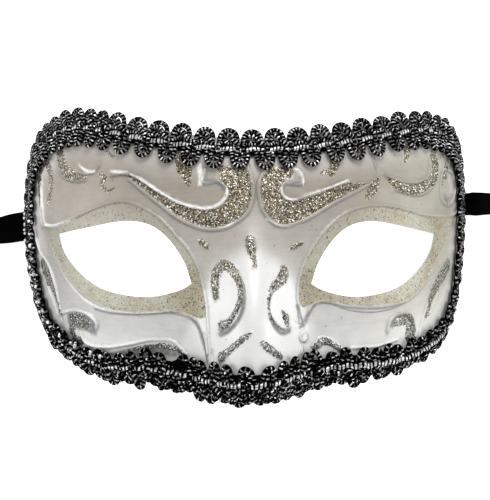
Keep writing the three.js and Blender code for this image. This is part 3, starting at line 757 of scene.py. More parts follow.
def mesh_over(outline, eyes, places):
    """Triangles over the face between the outline and the eyes, through the places given."""
    loops = [outline] + eyes
    places = places[within_shell(places, outline, eyes)]
    places = clear_of(places, np.vstack(loops), DETAIL_GAP)
    edges = []
    count = 0
    for loop in loops:
        edges += [(count + i, count + (i + 1) % len(loop)) for i in range(len(loop))]
        count += len(loop)
    corners = np.vstack(loops + [places])
    result = delaunay_2d_cdt([Vector(corner) for corner in corners.tolist()], edges, [], 0, 1e-5)
    places = np.array([tuple(vertex) for vertex in result[0]])
    faces = np.array(result[2])
    middles = places[faces].mean(1)
    return places, faces[within_shell(middles, outline, eyes)]


def points_of(places):
    return face_point(places[:, 0], places[:, 1])


def stroke_field(points, strokes):
    """Depth inside the nearest stroke, in millimetres; negative outside."""
    field = np.full(len(points), -float(FAR))
    for curve in curves_of(strokes):
        field = np.maximum(field, depth_in_line(points, points_of(curve), curve[:, 2]))
    return field


def area_field(places, points, polygons):
    """Depth inside the nearest area, in millimetres; negative outside."""
    field = np.full(len(places), -float(FAR))
    for polygon in polygons:
        depth = distance_to_line(points, points_of(np.vstack([polygon, polygon[:1]])))
        field = np.maximum(field, np.where(is_inside(places, polygon), depth, -depth))
    return field


def area_between(first, second):
    return np.vstack([curve_through(first, AREA_STEP), curve_through(second, AREA_STEP)[::-1]])


def relief(points, lines, swellings):
    """Height of the relief over the face, and how deep each point is in the shade under a ridge."""
    lift = np.zeros(len(points))
    foot = np.zeros(len(points))
    for half, height, curve in lines:
        line = points_of(curve)
        gap = distance_to_line(points, line) / half
        lift = np.maximum(lift, height * np.maximum(1 - gap**2, 0) ** RIDGE_POWER)
        nearer = gap - distance_to_line(points + [0, FOOT["higher"], 0], line) / half
        shade = lerp(FOOT["above"], 1, ramp(nearer, *FOOT["sides"]))
        foot = np.maximum(foot, np.exp(-(((gap - FOOT["at"]) / FOOT["width"]) ** 2)) * shade)
    swollen = ramp(stroke_field(points, swellings), *STROKE_EDGE["swelling"])
    return np.maximum(lift, SWELLING * swollen), foot


def below_surround(points):
    """Where the pale ground of the eyes has faded out beside the nose, sooner on the right."""
    low = lerp(GROUND["left"], GROUND["right"], ramp(points[:, 0], *GROUND["middle"]))
    return ramp(-points[:, 1] - low, *GROUND["fade"])


def olive_corner(points):
    """Where the surrounds of the eyes are darker and more olive, in the corners beside the nose."""
    x, y = points[:, 0], points[:, 1]
    return (1 - ramp(np.abs(x), *OLIVE_CORNER["out"])) * ramp(-y, *OLIVE_CORNER["down"])


def nose_white(points):
    """Where white is painted over the nose, from an arch between the eyes downward; it is partly a painted
    highlight of the light on the nose.
    """
    x, y = points[:, 0], points[:, 1]
    return ramp(-y - NOSE_WHITENING["bend"] * x**2, *NOSE_WHITENING["down"]) * (1 - ramp(np.abs(x), *NOSE_WHITENING["out"]))


def front_surface(outline, eyes):
    lines = relief_lines()
    swellings = RAISED_GLITTER + PLAIN_SWELLINGS
    rows = [rows_beside(curve, half, ROWS) for half, _, curve in lines]
    for curve in curves_of(swellings + FLAT_GLITTER + HIGHLIGHT_STROKES + GREY_AND_SHADE_STROKES):
        rows.append(rows_beside(curve, curve[:, 2], STROKE_ROWS))
    detail = thinned(np.vstack(rows), DETAIL_GAP)
    filler = clear_of(hexagons(FRONT_SPACING), detail, FILLER_GAP)
    places, faces = mesh_over(outline, eyes, np.vstack([detail, filler]))
    points = points_of(places)
    lift, foot = relief(points, lines, swellings)
    from_edge = distance_to_line(points, points_of(outline), EDGE_REACH)
    lift *= ramp(from_edge, *RELIEF_FROM_EDGE)
    for eye in eyes:
        lift *= ramp(distance_to_line(points, points_of(eye)), *RELIEF_FROM_EYE)
    scrolls = [area_between(SCROLL[side + "_outer"], SCROLL_FILL[side]) for side in SIGN]
    surrounds = [area_between(EYE_RIM[side + "_upper"], EYE_RIM[side + "_lower"]) for side in SIGN]
    filled = area_field(places, points, scrolls) - FILL_INSET
    values = {
        "glitter": np.maximum(stroke_field(points, RAISED_GLITTER + FLAT_GLITTER), filled),
        "sparkle": area_field(places, points, surrounds) - GROUND["loss"] * below_surround(points),
        "olive_part": olive_corner(points),
        # white strokes of painted highlight
        "highlight_white": ramp(stroke_field(points, HIGHLIGHT_STROKES), *STROKE_EDGE["highlight_white"]),
        # grey paint and painted shade, with the shade at the foot of each ridge
        "grey_and_shade": np.maximum(
            ramp(stroke_field(points, GREY_AND_SHADE_STROKES), *STROKE_EDGE["grey_and_shade"]), FOOT["dark"] * foot
        ),
        "nose": nose_white(points),
        # painted light along the edge
        "edge_light": 1 - ramp(from_edge, *EDGE_LIGHT_FADE),
    }
    return on_face(*places.T, lift), faces, values


def add_shell():
    """Front with its relief, a plain hollow back, and the walls that join them at every edge."""
    outline = spaced(arched(edge_loop(*EDGE_STEPS["shell"])), EDGE_STEP, closed=True)
    eyes = [eye_loop(sign, EYE_STEP) for sign in SIGN.values()]
    front_eyes = [place_under(eye, eye * [EYE_GUESS["front"], 1], 0) for eye in eyes]
    back_eyes = [place_under(eye, eye * [EYE_GUESS["back"], 1], -WALL) for eye in eyes]
    front, front_faces, values = front_surface(outline, front_eyes)
    back_places, back_faces = mesh_over(outline, back_eyes, hexagons(BACK_SPACING))
    back = on_face(*back_places.T, -WALL)
    at_rim = np.flatnonzero(np.abs(outline[:, 0]) > RIM_WRAP - ARCH["rise"] / RIM_SLOPE - 0.01)
    back[at_rim, 2] = front[at_rim, 2]
    faces = front_faces.tolist()
    faces += (back_faces[:, ::-1] + len(front)).tolist()
    start = 0
    for loop in [outline] + front_eyes:
        for i in range(len(loop)):
            here = start + i
            there = start + (i + 1) % len(loop)
            faces.append([there, here, here + len(front), there + len(front)])
        start += len(loop)
    for key, value in values.items():
        blank = -FAR if key in ("glitter", "sparkle") else 0
        values[key] = np.concatenate([value, np.full(len(back), blank)])
    values["hollow"] = np.repeat([0, 1], [len(front), len(back)])
    shell = add_mesh("painted_shell", np.vstack([front, back]), faces, values)
    shell.data.set_sharp_from_angle(angle=math.radians(SHARP["shell"]))
    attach(shell, "root")
    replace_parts(shell, "mask_shell")
    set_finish(shell, "shell")


add_shell()

# Gimp braid: four striped cords looped along a flat foil core, over a dark band of thread that also stands
# in for the shade between the loops.
# Its own coordinates are along the braid, across it towards the edge, and up from the face.
BRAID = {"overhang": 2.3, "side_inset": 0.4, "side_sink": 0.3, "phase": 3.3, "base": 0.95, "roundings": 12}
BRAID_WIDTH = {"forehead": 13.6, "nose": 14.2, "cheek": 9.8, "side": 10}
# Wraps between which the lower braid narrows to the cheeks, and heights between which it's the lower one
TO_CHEEK = (30, 75)
TO_LOWER = (0, -25)
BRAID_GROWTH = 1.07
HALF_BRAID = 7.1
DRAWN_PITCH = 8.2
DIRECTION_SPAN = 0.45
# Spacing of the loops along the braid
PITCH = {"brow": 8.25, "nose": 6.3, "rest": 5.3}
# Heights on the face between which the brow's braid begins
BROW_FROM = (0, 30)
# Wraps between which the braid changes towards the sides
TO_SIDE = {"width": (98, 112), "inset": (98, 114), "lift": (94, 108), "bands": (84, 98), "core": (92, 104)}
# Wraps between which the brow's even loops give way to crowded ones
CROWDING = {"left": (50, 62), "right": (60, 76)}
# Where the wider loops under the nose end: wrap of the nose, distances out from it, and heights
UNDER_NOSE = {"wrap": 3, "out": (20, 32), "up": (-20, 0)}

# Outer row: from the foot of a loop up inside it, back under, then over its top to the next
OUTER_CORD = [
    [-3.7, 1.3, 1.6], [-1.9, 2.7, 1.8], [-0.4, 4.2, 1.6], [0.9, 4.3, 1.3], [1.3, 3.1, 0.9],
    [-0.2, 1.9, 0.6], [-2, 1.9, 0.6], [-2.9, 3.4, 0.8], [-2.1, 5.4, 1], [0, 6.3, 1], [2.1, 5.5, 1],
    [3, 3.4, 1], [2.9, 1.2, 0.9],
]
# Inner row: deep loops that dip under the core between one another
INNER_CORD = [
    [-4.1, 0.3, 0.5], [-2.7, -0.9, 0.7], [-2.6, -2.9, 0.95], [-1.8, -5, 1], [0, -6, 1], [1.8, -5, 1],
    [2.6, -2.9, 0.95], [2.7, -0.9, 0.7],
]
# Hearts of the inner loops, whose legs cross over the core and meet along its far side
HEART_CORD = [
    [-5.4, 1.6, 0.9], [-3, 1.7, 0.9], [-1.5, 1.2, 1.4], [-1.2, -0.4, 1.9], [-1.3, -2.1, 1.5],
    [-1.2, -3.3, 1.3], [-0.1, -4, 1.3], [1, -3.2, 1.3], [0.9, -2, 1.5], [0.5, -0.4, 1.9],
    [0.7, 1.2, 1.4],
]
# Crushed loops that fill the notches of the lower edge; elsewhere this cord runs unseen under the core
FILLER_CORD = [
    [-3.2, 2.2, 0.9], [-2.6, 4.4, 0.8], [-1.1, 5.7, 0.9], [0.7, 5.3, 0.9], [1.7, 3.6, 1.3],
    [0.3, 2.6, 1.7], [-1.3, 3.3, 1.4], [-0.4, 4.6, 1.2], [2.4, 4.4, 0.6], [3.4, 2.6, 0.8],
]
FILLER_REST = [[0, 0, 0.2]]
FILLER_BELOW = -14
CORDS = [
    {"name": "outer_row", "keys": OUTER_CORD, "start": 0, "radius": 0.92},
    {"name": "inner_row", "keys": INNER_CORD, "start": 0.5, "radius": 0.85},
    {"name": "inner_hearts", "keys": HEART_CORD, "start": 0.5, "radius": 0.72},
    {"name": "filler", "keys": FILLER_CORD, "start": 0.5, "radius": 0.7},
]
CORD_SIDES = 8
CORD_STEP = 0.42
# How far loops are pushed about, on the brow and over the cheeks; how much of it is kept under the
# nose, the distances from there over which it grows, and the depths down the face
JUMBLE = {
    "kept": 0.25,
    "out": (12, 26),
    "down": (-10, 25),
    "stretch": (0.05, 0.18),
    "spin": (0.05, 0.5),
    "shift": (np.array([0.25, 0.1, 0.05]), np.array([0.9, 0.5, 0.35])),
}
# Flat bands: half widths and middles below and on the brow, thickness, lift and sway
CORE = {"halves": (0.78, 0.78), "middles": (-0.2, -0.2), "thickness": 0.5, "lift": 1.15, "sway": 0.35}
# Dark band under the cords, wider below: black thread, and painted shade between the loops
SHADE_BACKING = {"halves": (4.1, 2.2), "middles": (0.8, 0), "thickness": 0.35, "lift": 0, "sway": 0}
BAND_SECTION = [(1, 0), (0.85, 1), (0, 1.25), (-0.85, 1), (-1, 0)]
BAND_STEPS = 10
BAND_BROW = (-10, 15)
BAND_SINK = 0.85
LOW_BAND_LIFT = 0.7
CORE_HALF_RIGHT_CHEEK = 1
# How far the core rides up over the loops below the right cheek, and below the rest of the mask
CORE_RISE = {"right_cheek": 1.9, "rest": 0.9, "down": (5, 22), "to_cheek": (32, 46)}
# Length of one winding of foil along a cord, and how much foil shows in each kind of piece
WINDING = {"brow": 1.2, "rest": 1.6}
FOIL = {"thread": -1, "cord": 0, "core": 1, "glint_beads": 2}
# Rows of bright foil beads down the sides, painted glints of light on the braid: ends on the face, spacing
# in loops, place across, lift and radius
BEADS = [
    ([-117, 15], [-117, 3.5], 0.36, 1.8, 2.9, 0.6),
    ([-117, 2], [-98, -29], 0.9, -2.2, 3, 0.5),
    ([-117, 13], [-62, -36], 0.95, -5, 2.3, 0.6),
    ([98, -29], [117, -6], 1, 0.6, 2.8, 0.7),
]
BEAD_SHIFT = {"along": 0.3, "across": 0.5}
BEAD_STRETCH = ([0.7, 0.7, 0.7], [1.3, 1.5, 1.3])
BALL = {"rings": 7, "sides": 10, "cap": 0.12}
KNOTS = [
    {"near": [-28.3, -40], "across": -3.3, "size": 1.9},
    {"near": [-116, 24.7], "across": 5.6, "size": 0.9},
]
# Threads in a knot, points round each, and a thread's measures in knot sizes, above a foot in millimetres
KNOT = {
    "threads": 5, "points": 18, "ring": 0.75, "scatter": 0.25, "flat": 0.45, "radius": 0.42, "lift": 0.6,
    "foot": 0.8,
}


def braid_width(wrap, y):
    out = np.abs(wrap)
    below = lerp(BRAID_WIDTH["nose"], BRAID_WIDTH["cheek"], ramp(out, *TO_CHEEK))
    middle = lerp(BRAID_WIDTH["forehead"], below, ramp(y, *TO_LOWER))
    return lerp(middle, BRAID_WIDTH["side"], ramp(out, *TO_SIDE["width"]))


def braid_line():
    """Middle of the braid as a closed loop of [wrap, y], and its length up to each place."""
    loop = edge_loop(*EDGE_STEPS["braid"])
    for _ in range(BRAID["roundings"]):
        loop = (np.roll(loop, 1, 0) + 2 * loop + np.roll(loop, -1, 0)) / 4
    ahead = np.roll(loop, -1, 0) - np.roll(loop, 1, 0)
    at_side = ramp(np.abs(loop[:, 0]), *TO_SIDE["inset"])
    from_edge = lerp(-BRAID["overhang"], BRAID["side_inset"], at_side)
    inset = braid_width(*loop.T) / 2 + from_edge
    loop = loop + across_step(loop, ahead) * inset[:, None]
    loop = np.vstack([loop, loop[:1]])
    return loop, run_along(points_of(loop))


def loops_along(loop, run):
    """Number of the braid's loops up to each place: even along the brow, crowded elsewhere."""
    brow = ramp(loop[:, 1], *BROW_FROM)
    for side, sign in SIGN.items():
        brow = brow * (1 - ramp(sign * loop[:, 0], *CROWDING[side]))
    from_nose = np.abs(loop[:, 0] - UNDER_NOSE["wrap"])
    nose = (1 - ramp(from_nose, *UNDER_NOSE["out"])) * (1 - ramp(loop[:, 1], *UNDER_NOSE["up"]))
    density = 1 / (lerp(PITCH["rest"], PITCH["brow"], brow) + (PITCH["nose"] - PITCH["rest"]) * nose)
    count = summed(np.diff(run) * (density[1:] + density[:-1]) / 2)
    return count * round(count[-1]) / count[-1]


BRAID_LOOP, BRAID_RUN = braid_line()
LOOP_NUMBER = loops_along(BRAID_LOOP, BRAID_RUN)
LOOP_COUNT = round(LOOP_NUMBER[-1])


def braid_place(number):
    number = np.mod(number, LOOP_COUNT)
    return np.stack([np.interp(number, LOOP_NUMBER, BRAID_LOOP[:, k]) for k in (0, 1)], -1)


def braid_frame(path):
    """Points on the face for a path in the braid's coordinates, and the face normal at each."""
    number = path[:, 0] / DRAWN_PITCH
    ahead = braid_place(number + DIRECTION_SPAN) - braid_place(number - DIRECTION_SPAN)
    places = braid_place(number)
    outward = -across_step(places, ahead)
    scale = braid_width(*places.T) / 2 / HALF_BRAID * BRAID_GROWTH
    places = places + outward * (path[:, 1] * scale)[:, None]
    normal = unit(np.cross(*face_slopes(*places.T)))
    lift = path[:, 2] * (1 - BRAID["side_sink"] * ramp(np.abs(places[:, 0]), *TO_SIDE["lift"]))
    points = points_of(places) + normal * (BRAID["base"] + lift)[:, None]
    return points, normal


def around(points, normal, radius, sides):
    """Round cord through points, ring by ring, and how squarely each vertex faces out or upward."""
    along = unit(np.roll(points, -1, 0) - np.roll(points, 1, 0))
    side = unit(np.cross(normal, along))
    top = np.cross(along, side)
    turn = full_turn(sides)
    ring = side[:, None] * np.cos(turn)[:, None] + top[:, None] * np.sin(turn)[:, None]
    vertices = (points[:, None] + ring * radius).reshape(-1, 3)
    return vertices, (np.sin(turn) + ring[..., 2]).reshape(-1) / 2


def windings(points):
    """Turns of foil up to each point of a cord: close along the brow, wider elsewhere."""
    length = lerp(WINDING["rest"], WINDING["brow"], ramp(points[:, 1], *BROW_FROM))
    return summed(np.diff(run_along(points)) / length[1:])


def add_braid_piece(name, vertices, faces, turns, facing, foil):
    values = {"turns": turns, "facing": facing, "foil": np.full(len(vertices), foil)}
    piece = add_mesh("braid_" + name, vertices, faces, values)
    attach(piece, "root")
    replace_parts(piece, "braid_trim")
    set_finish(piece, "braid")


def jumbled(keys, place, random):
    """Key points of one loop, pushed about: a little on the brow and nose, a lot over the cheeks."""
    wrap, y = place
    beside_nose = ramp(abs(wrap - UNDER_NOSE["wrap"]), *JUMBLE["out"])
    jumble = float(ramp(-y, *JUMBLE["down"]) * lerp(JUMBLE["kept"], 1, beside_nose))
    stretch = lerp(*JUMBLE["stretch"], jumble)
    spin = random.uniform(-1, 1) * lerp(*JUMBLE["spin"], jumble)
    keys = np.array(keys) * (1 + random.uniform(-stretch, stretch, 3))
    turn = np.array([[math.cos(spin), math.sin(spin)], [-math.sin(spin), math.cos(spin)]])
    keys[:, :2] = keys[:, :2] @ turn
    return keys + random.uniform(-1, 1, 3) * lerp(*JUMBLE["shift"], jumble)


def add_cord(cord, random):
    keys = []
    for index in range(LOOP_COUNT):
        along = (index + cord["start"]) * DRAWN_PITCH + BRAID["phase"]
        place = braid_place(index + 0.5)
        hidden = cord["name"] == "filler" and place[1] > FILLER_BELOW
        loop = np.array(FILLER_REST) if hidden else jumbled(cord["keys"], place, random)
        keys.append(loop + [along, 0, 0])
    keys = np.vstack(keys)
    closing = keys[:1] + [LOOP_COUNT * DRAWN_PITCH, 0, 0]
    path = curve_through(np.vstack([keys, closing]), CORD_STEP)[:-1]
    points, normal = braid_frame(path)
    vertices, facing = around(points, normal, cord["radius"], CORD_SIDES)
    faces = tube_faces(len(points), CORD_SIDES, closed=True)
    turns = np.repeat(windings(points), CORD_SIDES)
    add_braid_piece(cord["name"], vertices, faces, turns, facing, FOIL["cord"])


def core_rise(places):
    """How far the core rides up at each place, and how much of the right cheek's part is in that."""
    below = ramp(-places[:, 1], *CORE_RISE["down"])
    cheek = ramp(places[:, 0], *CORE_RISE["to_cheek"])
    return below * lerp(CORE_RISE["rest"], CORE_RISE["right_cheek"], cheek), below * cheek


def add_band(name, band, foil):
    """Flat band along the braid, lifted off the face but sunk among the cords at the sides."""
    count = LOOP_COUNT * BAND_STEPS
    along = np.linspace(0, LOOP_COUNT * DRAWN_PITCH, count, endpoint=False)
    places = braid_place(along / DRAWN_PITCH)
    brow = ramp(places[:, 1], *BAND_BROW)
    half = lerp(*band["halves"], brow)
    swing = lerp(*band["middles"], brow) + band["sway"] * np.sin(2 * math.pi * along / DRAWN_PITCH)
    out = np.abs(places[:, 0])
    lift = band["lift"] * (1 - BAND_SINK * ramp(out, *TO_SIDE["bands"])) * lerp(LOW_BAND_LIFT, 1, brow)
    if band is CORE:
        rise, cheek = core_rise(places)
        lift = lift + rise * (1 - ramp(out, *TO_SIDE["core"]))
        half = lerp(half, CORE_HALF_RIGHT_CHEEK, cheek)
    corners = []
    for across, up in BAND_SECTION:
        path = np.stack([along, swing + half * across, lift + band["thickness"] * up], -1)
        corners.append(braid_frame(path)[0])
    vertices = np.stack(corners, 1).reshape(-1, 3)
    turns = np.repeat(windings(corners[len(corners) // 2]), len(corners))
    faces = tube_faces(count, len(corners), closed=True)
    add_braid_piece(name, vertices, faces, turns, np.ones(len(vertices)), foil)


def number_near(place):
    """The braid's loop number nearest to a place on the face."""
    gap = np.linalg.norm(points_of(BRAID_LOOP) - face_point(*place), axis=1)
    return LOOP_NUMBER[gap.argmin()]


def at_braid(number, across, lift):
    points, normal = braid_frame(np.array([[number * DRAWN_PITCH, across, lift]]))
    return points[0], normal[0]


def joined(parts):
    """One list of vertices and faces from several."""
    vertices = []
    faces = []
    count = 0
    for part_vertices, part_faces in parts:
        vertices.append(part_vertices)
        faces += [tuple(count + k for k in face) for face in part_faces]
        count += len(part_vertices)
    return np.vstack(vertices), faces


def ball(center, radii):
    """Small ellipsoid as rings of vertices, with caps at both ends."""
    polar = np.linspace(BALL["cap"], math.pi - BALL["cap"], BALL["rings"])[:, None]
    turn = full_turn(BALL["sides"])
    x = np.sin(polar) * np.cos(turn)
    y = np.sin(polar) * np.sin(turn)
    z = np.cos(polar) * np.ones(BALL["sides"])
    vertices = center + np.stack([x, y, z], -1).reshape(-1, 3) * radii
    return vertices, [face[::-1] for face in tube_faces(BALL["rings"], BALL["sides"])]


def add_plain(name, parts, foil):
    """Piece of the braid with one finish all over."""
    vertices, faces = joined(parts)
    level = np.ones(len(vertices))
    add_braid_piece(name, vertices, faces, level, level, foil)


# Bright beads that stand in for glints on the braid
def add_beads(random):
    parts = []
    for first, last, spacing, across, lift, radius in BEADS:
        start = number_near(first)
        end = start + (number_near(last) - start) % LOOP_COUNT
        for number in np.arange(start, end, spacing):
            shifted = number + random.uniform(-BEAD_SHIFT["along"], BEAD_SHIFT["along"]) * spacing
            sideways = random.uniform(-BEAD_SHIFT["across"], BEAD_SHIFT["across"])
            center, _ = at_braid(shifted, across + sideways, lift)
            parts.append(ball(center, radius * random.uniform(*BEAD_STRETCH)))
    add_plain("glint_beads", parts, FOIL["glint_beads"])


def add_knots(random):
    parts = []
    count = KNOT["points"]
    turn = full_turn(count)[:, None]
    for knot in KNOTS:
        size = knot["size"]
        lift = KNOT["foot"] + size * KNOT["lift"]
        center, normal = at_braid(number_near(knot["near"]), knot["across"], lift)
        for _ in range(KNOT["threads"]):
            axis = unit(random.normal(size=3))
            first = unit(np.cross(axis, random.normal(size=3)))
            ring = (first * np.cos(turn) + np.cross(axis, first) * np.sin(turn)) * size * KNOT["ring"]
            ring += random.normal(size=3) * size * KNOT["scatter"]
            ring -= np.outer(ring @ normal, normal) * KNOT["flat"]
            vertices, _ = around(center + ring, np.tile(axis, (count, 1)), size * KNOT["radius"], CORD_SIDES)
            parts.append((vertices, tube_faces(count, CORD_SIDES, closed=True)))
    add_plain("knots", parts, FOIL["thread"])


def add_braid():
    random = np.random.default_rng(7)
    for cord in CORDS:
        add_cord(cord, random)
    add_band("core", CORE, FOIL["core"])
    add_band("shade_backing", SHADE_BACKING, FOIL["thread"])
    add_beads(random)
    add_knots(random)


add_braid()


# Materials
class Nodes:
    """Short names for building one material's nodes."""

    def __init__(self, name):
        self.material = bpy.data.materials.new(name)
        self.material.use_nodes = True
        self.tree = self.material.node_tree
        self.shader = self.tree.nodes["Principled BSDF"]
        self.place = self.add("ShaderNodeTexCoord").outputs["Object"]

    def add(self, kind, inputs=None, **settings):
        node = self.tree.nodes.new(kind)
        for key, value in settings.items():
            setattr(node, key, value)
        for key, value in (inputs or {}).items():
            self.feed(node.inputs[key], value)
        return node

    def feed(self, socket, value):
        if isinstance(value, bpy.types.NodeSocket):
            self.tree.links.new(value, socket)
        else:
            socket.default_value = value

    def math(self, operation, first, second=0.0, third=0.0):
        node = self.add("ShaderNodeMath", {0: first, 1: second, 2: third}, operation=operation)
        return node.outputs[0]

    def times(self, first, second):
        return self.math("MULTIPLY", first, second)

    def scaled(self, value, factor, offset):
        return self.math("MULTIPLY_ADD", value, factor, offset)

    def value(self, name):
        """The number that the mesh stores under this name at each of its points."""
        return self.add("ShaderNodeAttribute", attribute_name=name).outputs["Fac"]

    def noise(self, size, detail=3.0, place=None):
        """Random pattern from 0 to 1 whose patches are about this size in millimetres."""
        inputs = {"Vector": place or self.place, "Scale": 1 / (size * MM), "Detail": detail}
        return self.add("ShaderNodeTexNoise", inputs).outputs["Fac"]

    def picked(self, size, channel):
        """A random number for each cell of this size."""
        inputs = {"Vector": self.place, "Scale": 1 / (size * MM)}
        color = self.add("ShaderNodeTexVoronoi", inputs).outputs["Color"]
        return self.add("ShaderNodeSeparateColor", {"Color": color}).outputs[channel]

    def step(self, value, low, high):
        """Smooth rise from 0 to 1 while the value goes from low to high."""
        inputs = {"Value": value, "From Min": low, "From Max": high}
        return self.add("ShaderNodeMapRange", inputs, interpolation_type="SMOOTHSTEP").outputs["Result"]

    def mix(self, part, first, second, blend_type="MIX"):
        inputs = {0: part, 6: first, 7: second}
        return self.add("ShaderNodeMix", inputs, data_type="RGBA", blend_type=blend_type).outputs[2]

    def blend(self, part, first, second):
        """The first number where part is 0, the second where it is 1."""
        inputs = {"Value": part, "To Min": first, "To Max": second}
        return self.add("ShaderNodeMapRange", inputs).outputs["Result"]

    def ramp(self, part, stops, sharp=False):
        node = self.add("ShaderNodeValToRGB", {"Fac": part})
        node.color_ramp.interpolation = "CONSTANT" if sharp else "LINEAR"
        elements = node.color_ramp.elements
        while len(elements) < len(stops):
            elements.new(0.5)
        for element, (position, color) in zip(elements, stops):
            element.position = position
            element.color = color
        return node.outputs["Color"]

    def bump(self, height, distance, strength=1.0, normal=None):
        inputs = {"Height": height, "Distance": distance * MM, "Strength": strength}
        if normal:
            inputs["Normal"] = normal
        return self.add("ShaderNodeBump", inputs).outputs["Normal"]

    def finish(self, **inputs):
        for name, value in inputs.items():
            self.feed(self.shader.inputs[name.replace("_", " ")], value)
        return self.material


def gray(level):
    return (level, level, level, 1)


def glitter_color(nodes, size, brow):
    """Flake colours picked cell by cell: silver, champagne, olive and dark; greyer lower down."""
    pick = nodes.picked(size, "Red")
    warm = nodes.ramp(pick, [
        (0, (0.01, 0.008, 0.005, 1)),
        (0.26, (0.065, 0.048, 0.02, 1)),
        (0.5, (0.19, 0.145, 0.075, 1)),
        (0.78, (0.42, 0.35, 0.24, 1)),
        (0.91, (1, 0.97, 0.88, 1)),
    ], sharp=True)
    cool = nodes.ramp(pick, [
        (0, (0.012, 0.013, 0.011, 1)),
        (0.28, (0.06, 0.06, 0.042, 1)),
        (0.54, (0.15, 0.15, 0.115, 1)),
        (0.8, (0.33, 0.33, 0.28, 1)),
        (0.92, (0.9, 0.9, 0.86, 1)),
    ], sharp=True)
    return nodes.mix(brow, cool, warm)


# Pearl paint from dark to light: below and on the brow, then the same at the right corner; the darker paint
# on the brow is partly painted shade
TONES = (0.3, 0.7)
PAINT = {
    "cool": [(0.5, 0.5, 0.485, 1), (0.68, 0.68, 0.665, 1)],
    "warm": [(0.255, 0.22, 0.18, 1), (0.355, 0.315, 0.26, 1)],
    "pale": [(0.28, 0.27, 0.205, 1), (0.375, 0.365, 0.29, 1)],
    "cream": [(0.49, 0.475, 0.41, 1), (0.67, 0.65, 0.57, 1)],
}
# White over the nose, partly a painted highlight
NOSE_WHITE = (0.76, 0.76, 0.75, 1)
# Painted light along the edge, lifting the shade beside the braid
EDGE_LIGHT_WHITE = (0.92, 0.92, 0.89, 1)
# White of the painted highlights
HIGHLIGHT_WHITE = (0.85, 0.85, 0.83, 1)
# Grey of the grey paint and of the painted shade
GREY_AND_SHADE = (0.2, 0.205, 0.195, 1)
CORNER_OLIVE = (0.31, 0.27, 0.18, 1)
SPECK_DARK = (0.06, 0.055, 0.035, 1)
HOLLOW_WHITE = (0.4, 0.395, 0.38, 1)
# Colours of the dusting round the eyes, and brightness of its grains
DUST_HUES = [
    (0.35, (0.45, 0.385, 0.26, 1)),
    (0.5, (0.52, 0.485, 0.345, 1)),
    (0.65, (0.52, 0.525, 0.4, 1)),
]
DUST_LEVELS = [(0, gray(0.55)), (0.35, gray(0.85)), (0.75, gray(1.05))]
# Places between which the finishes change, in metres from the middle: up to the brow, to the right corner,
# to the left edge, where the painted light along the edge is strongest, out to the temples, and down to the
# lower braid, which shows less foil there as painted shade
FADE = {
    "brow": (-0.02, 0.045),
    "corner": (0.045, 0.09),
    "left_edge": (0.058, 0.073),
    "temples": (0.048, 0.066),
    "lower_braid": (-0.01, -0.03),
}
# How far the cloudy pattern moves a fade, in metres, and how the brush marks slant and stretch
CLOUD_SHIFT = 0.03
BRUSHING = {"angle": 0.65, "scale": (0.25, 2.5, 1)}
# Sizes of a flake of glitter, a grain of dust and a dark speck in the dust
FLAKE = 0.34
DUST = 0.3
SPECK = 0.36


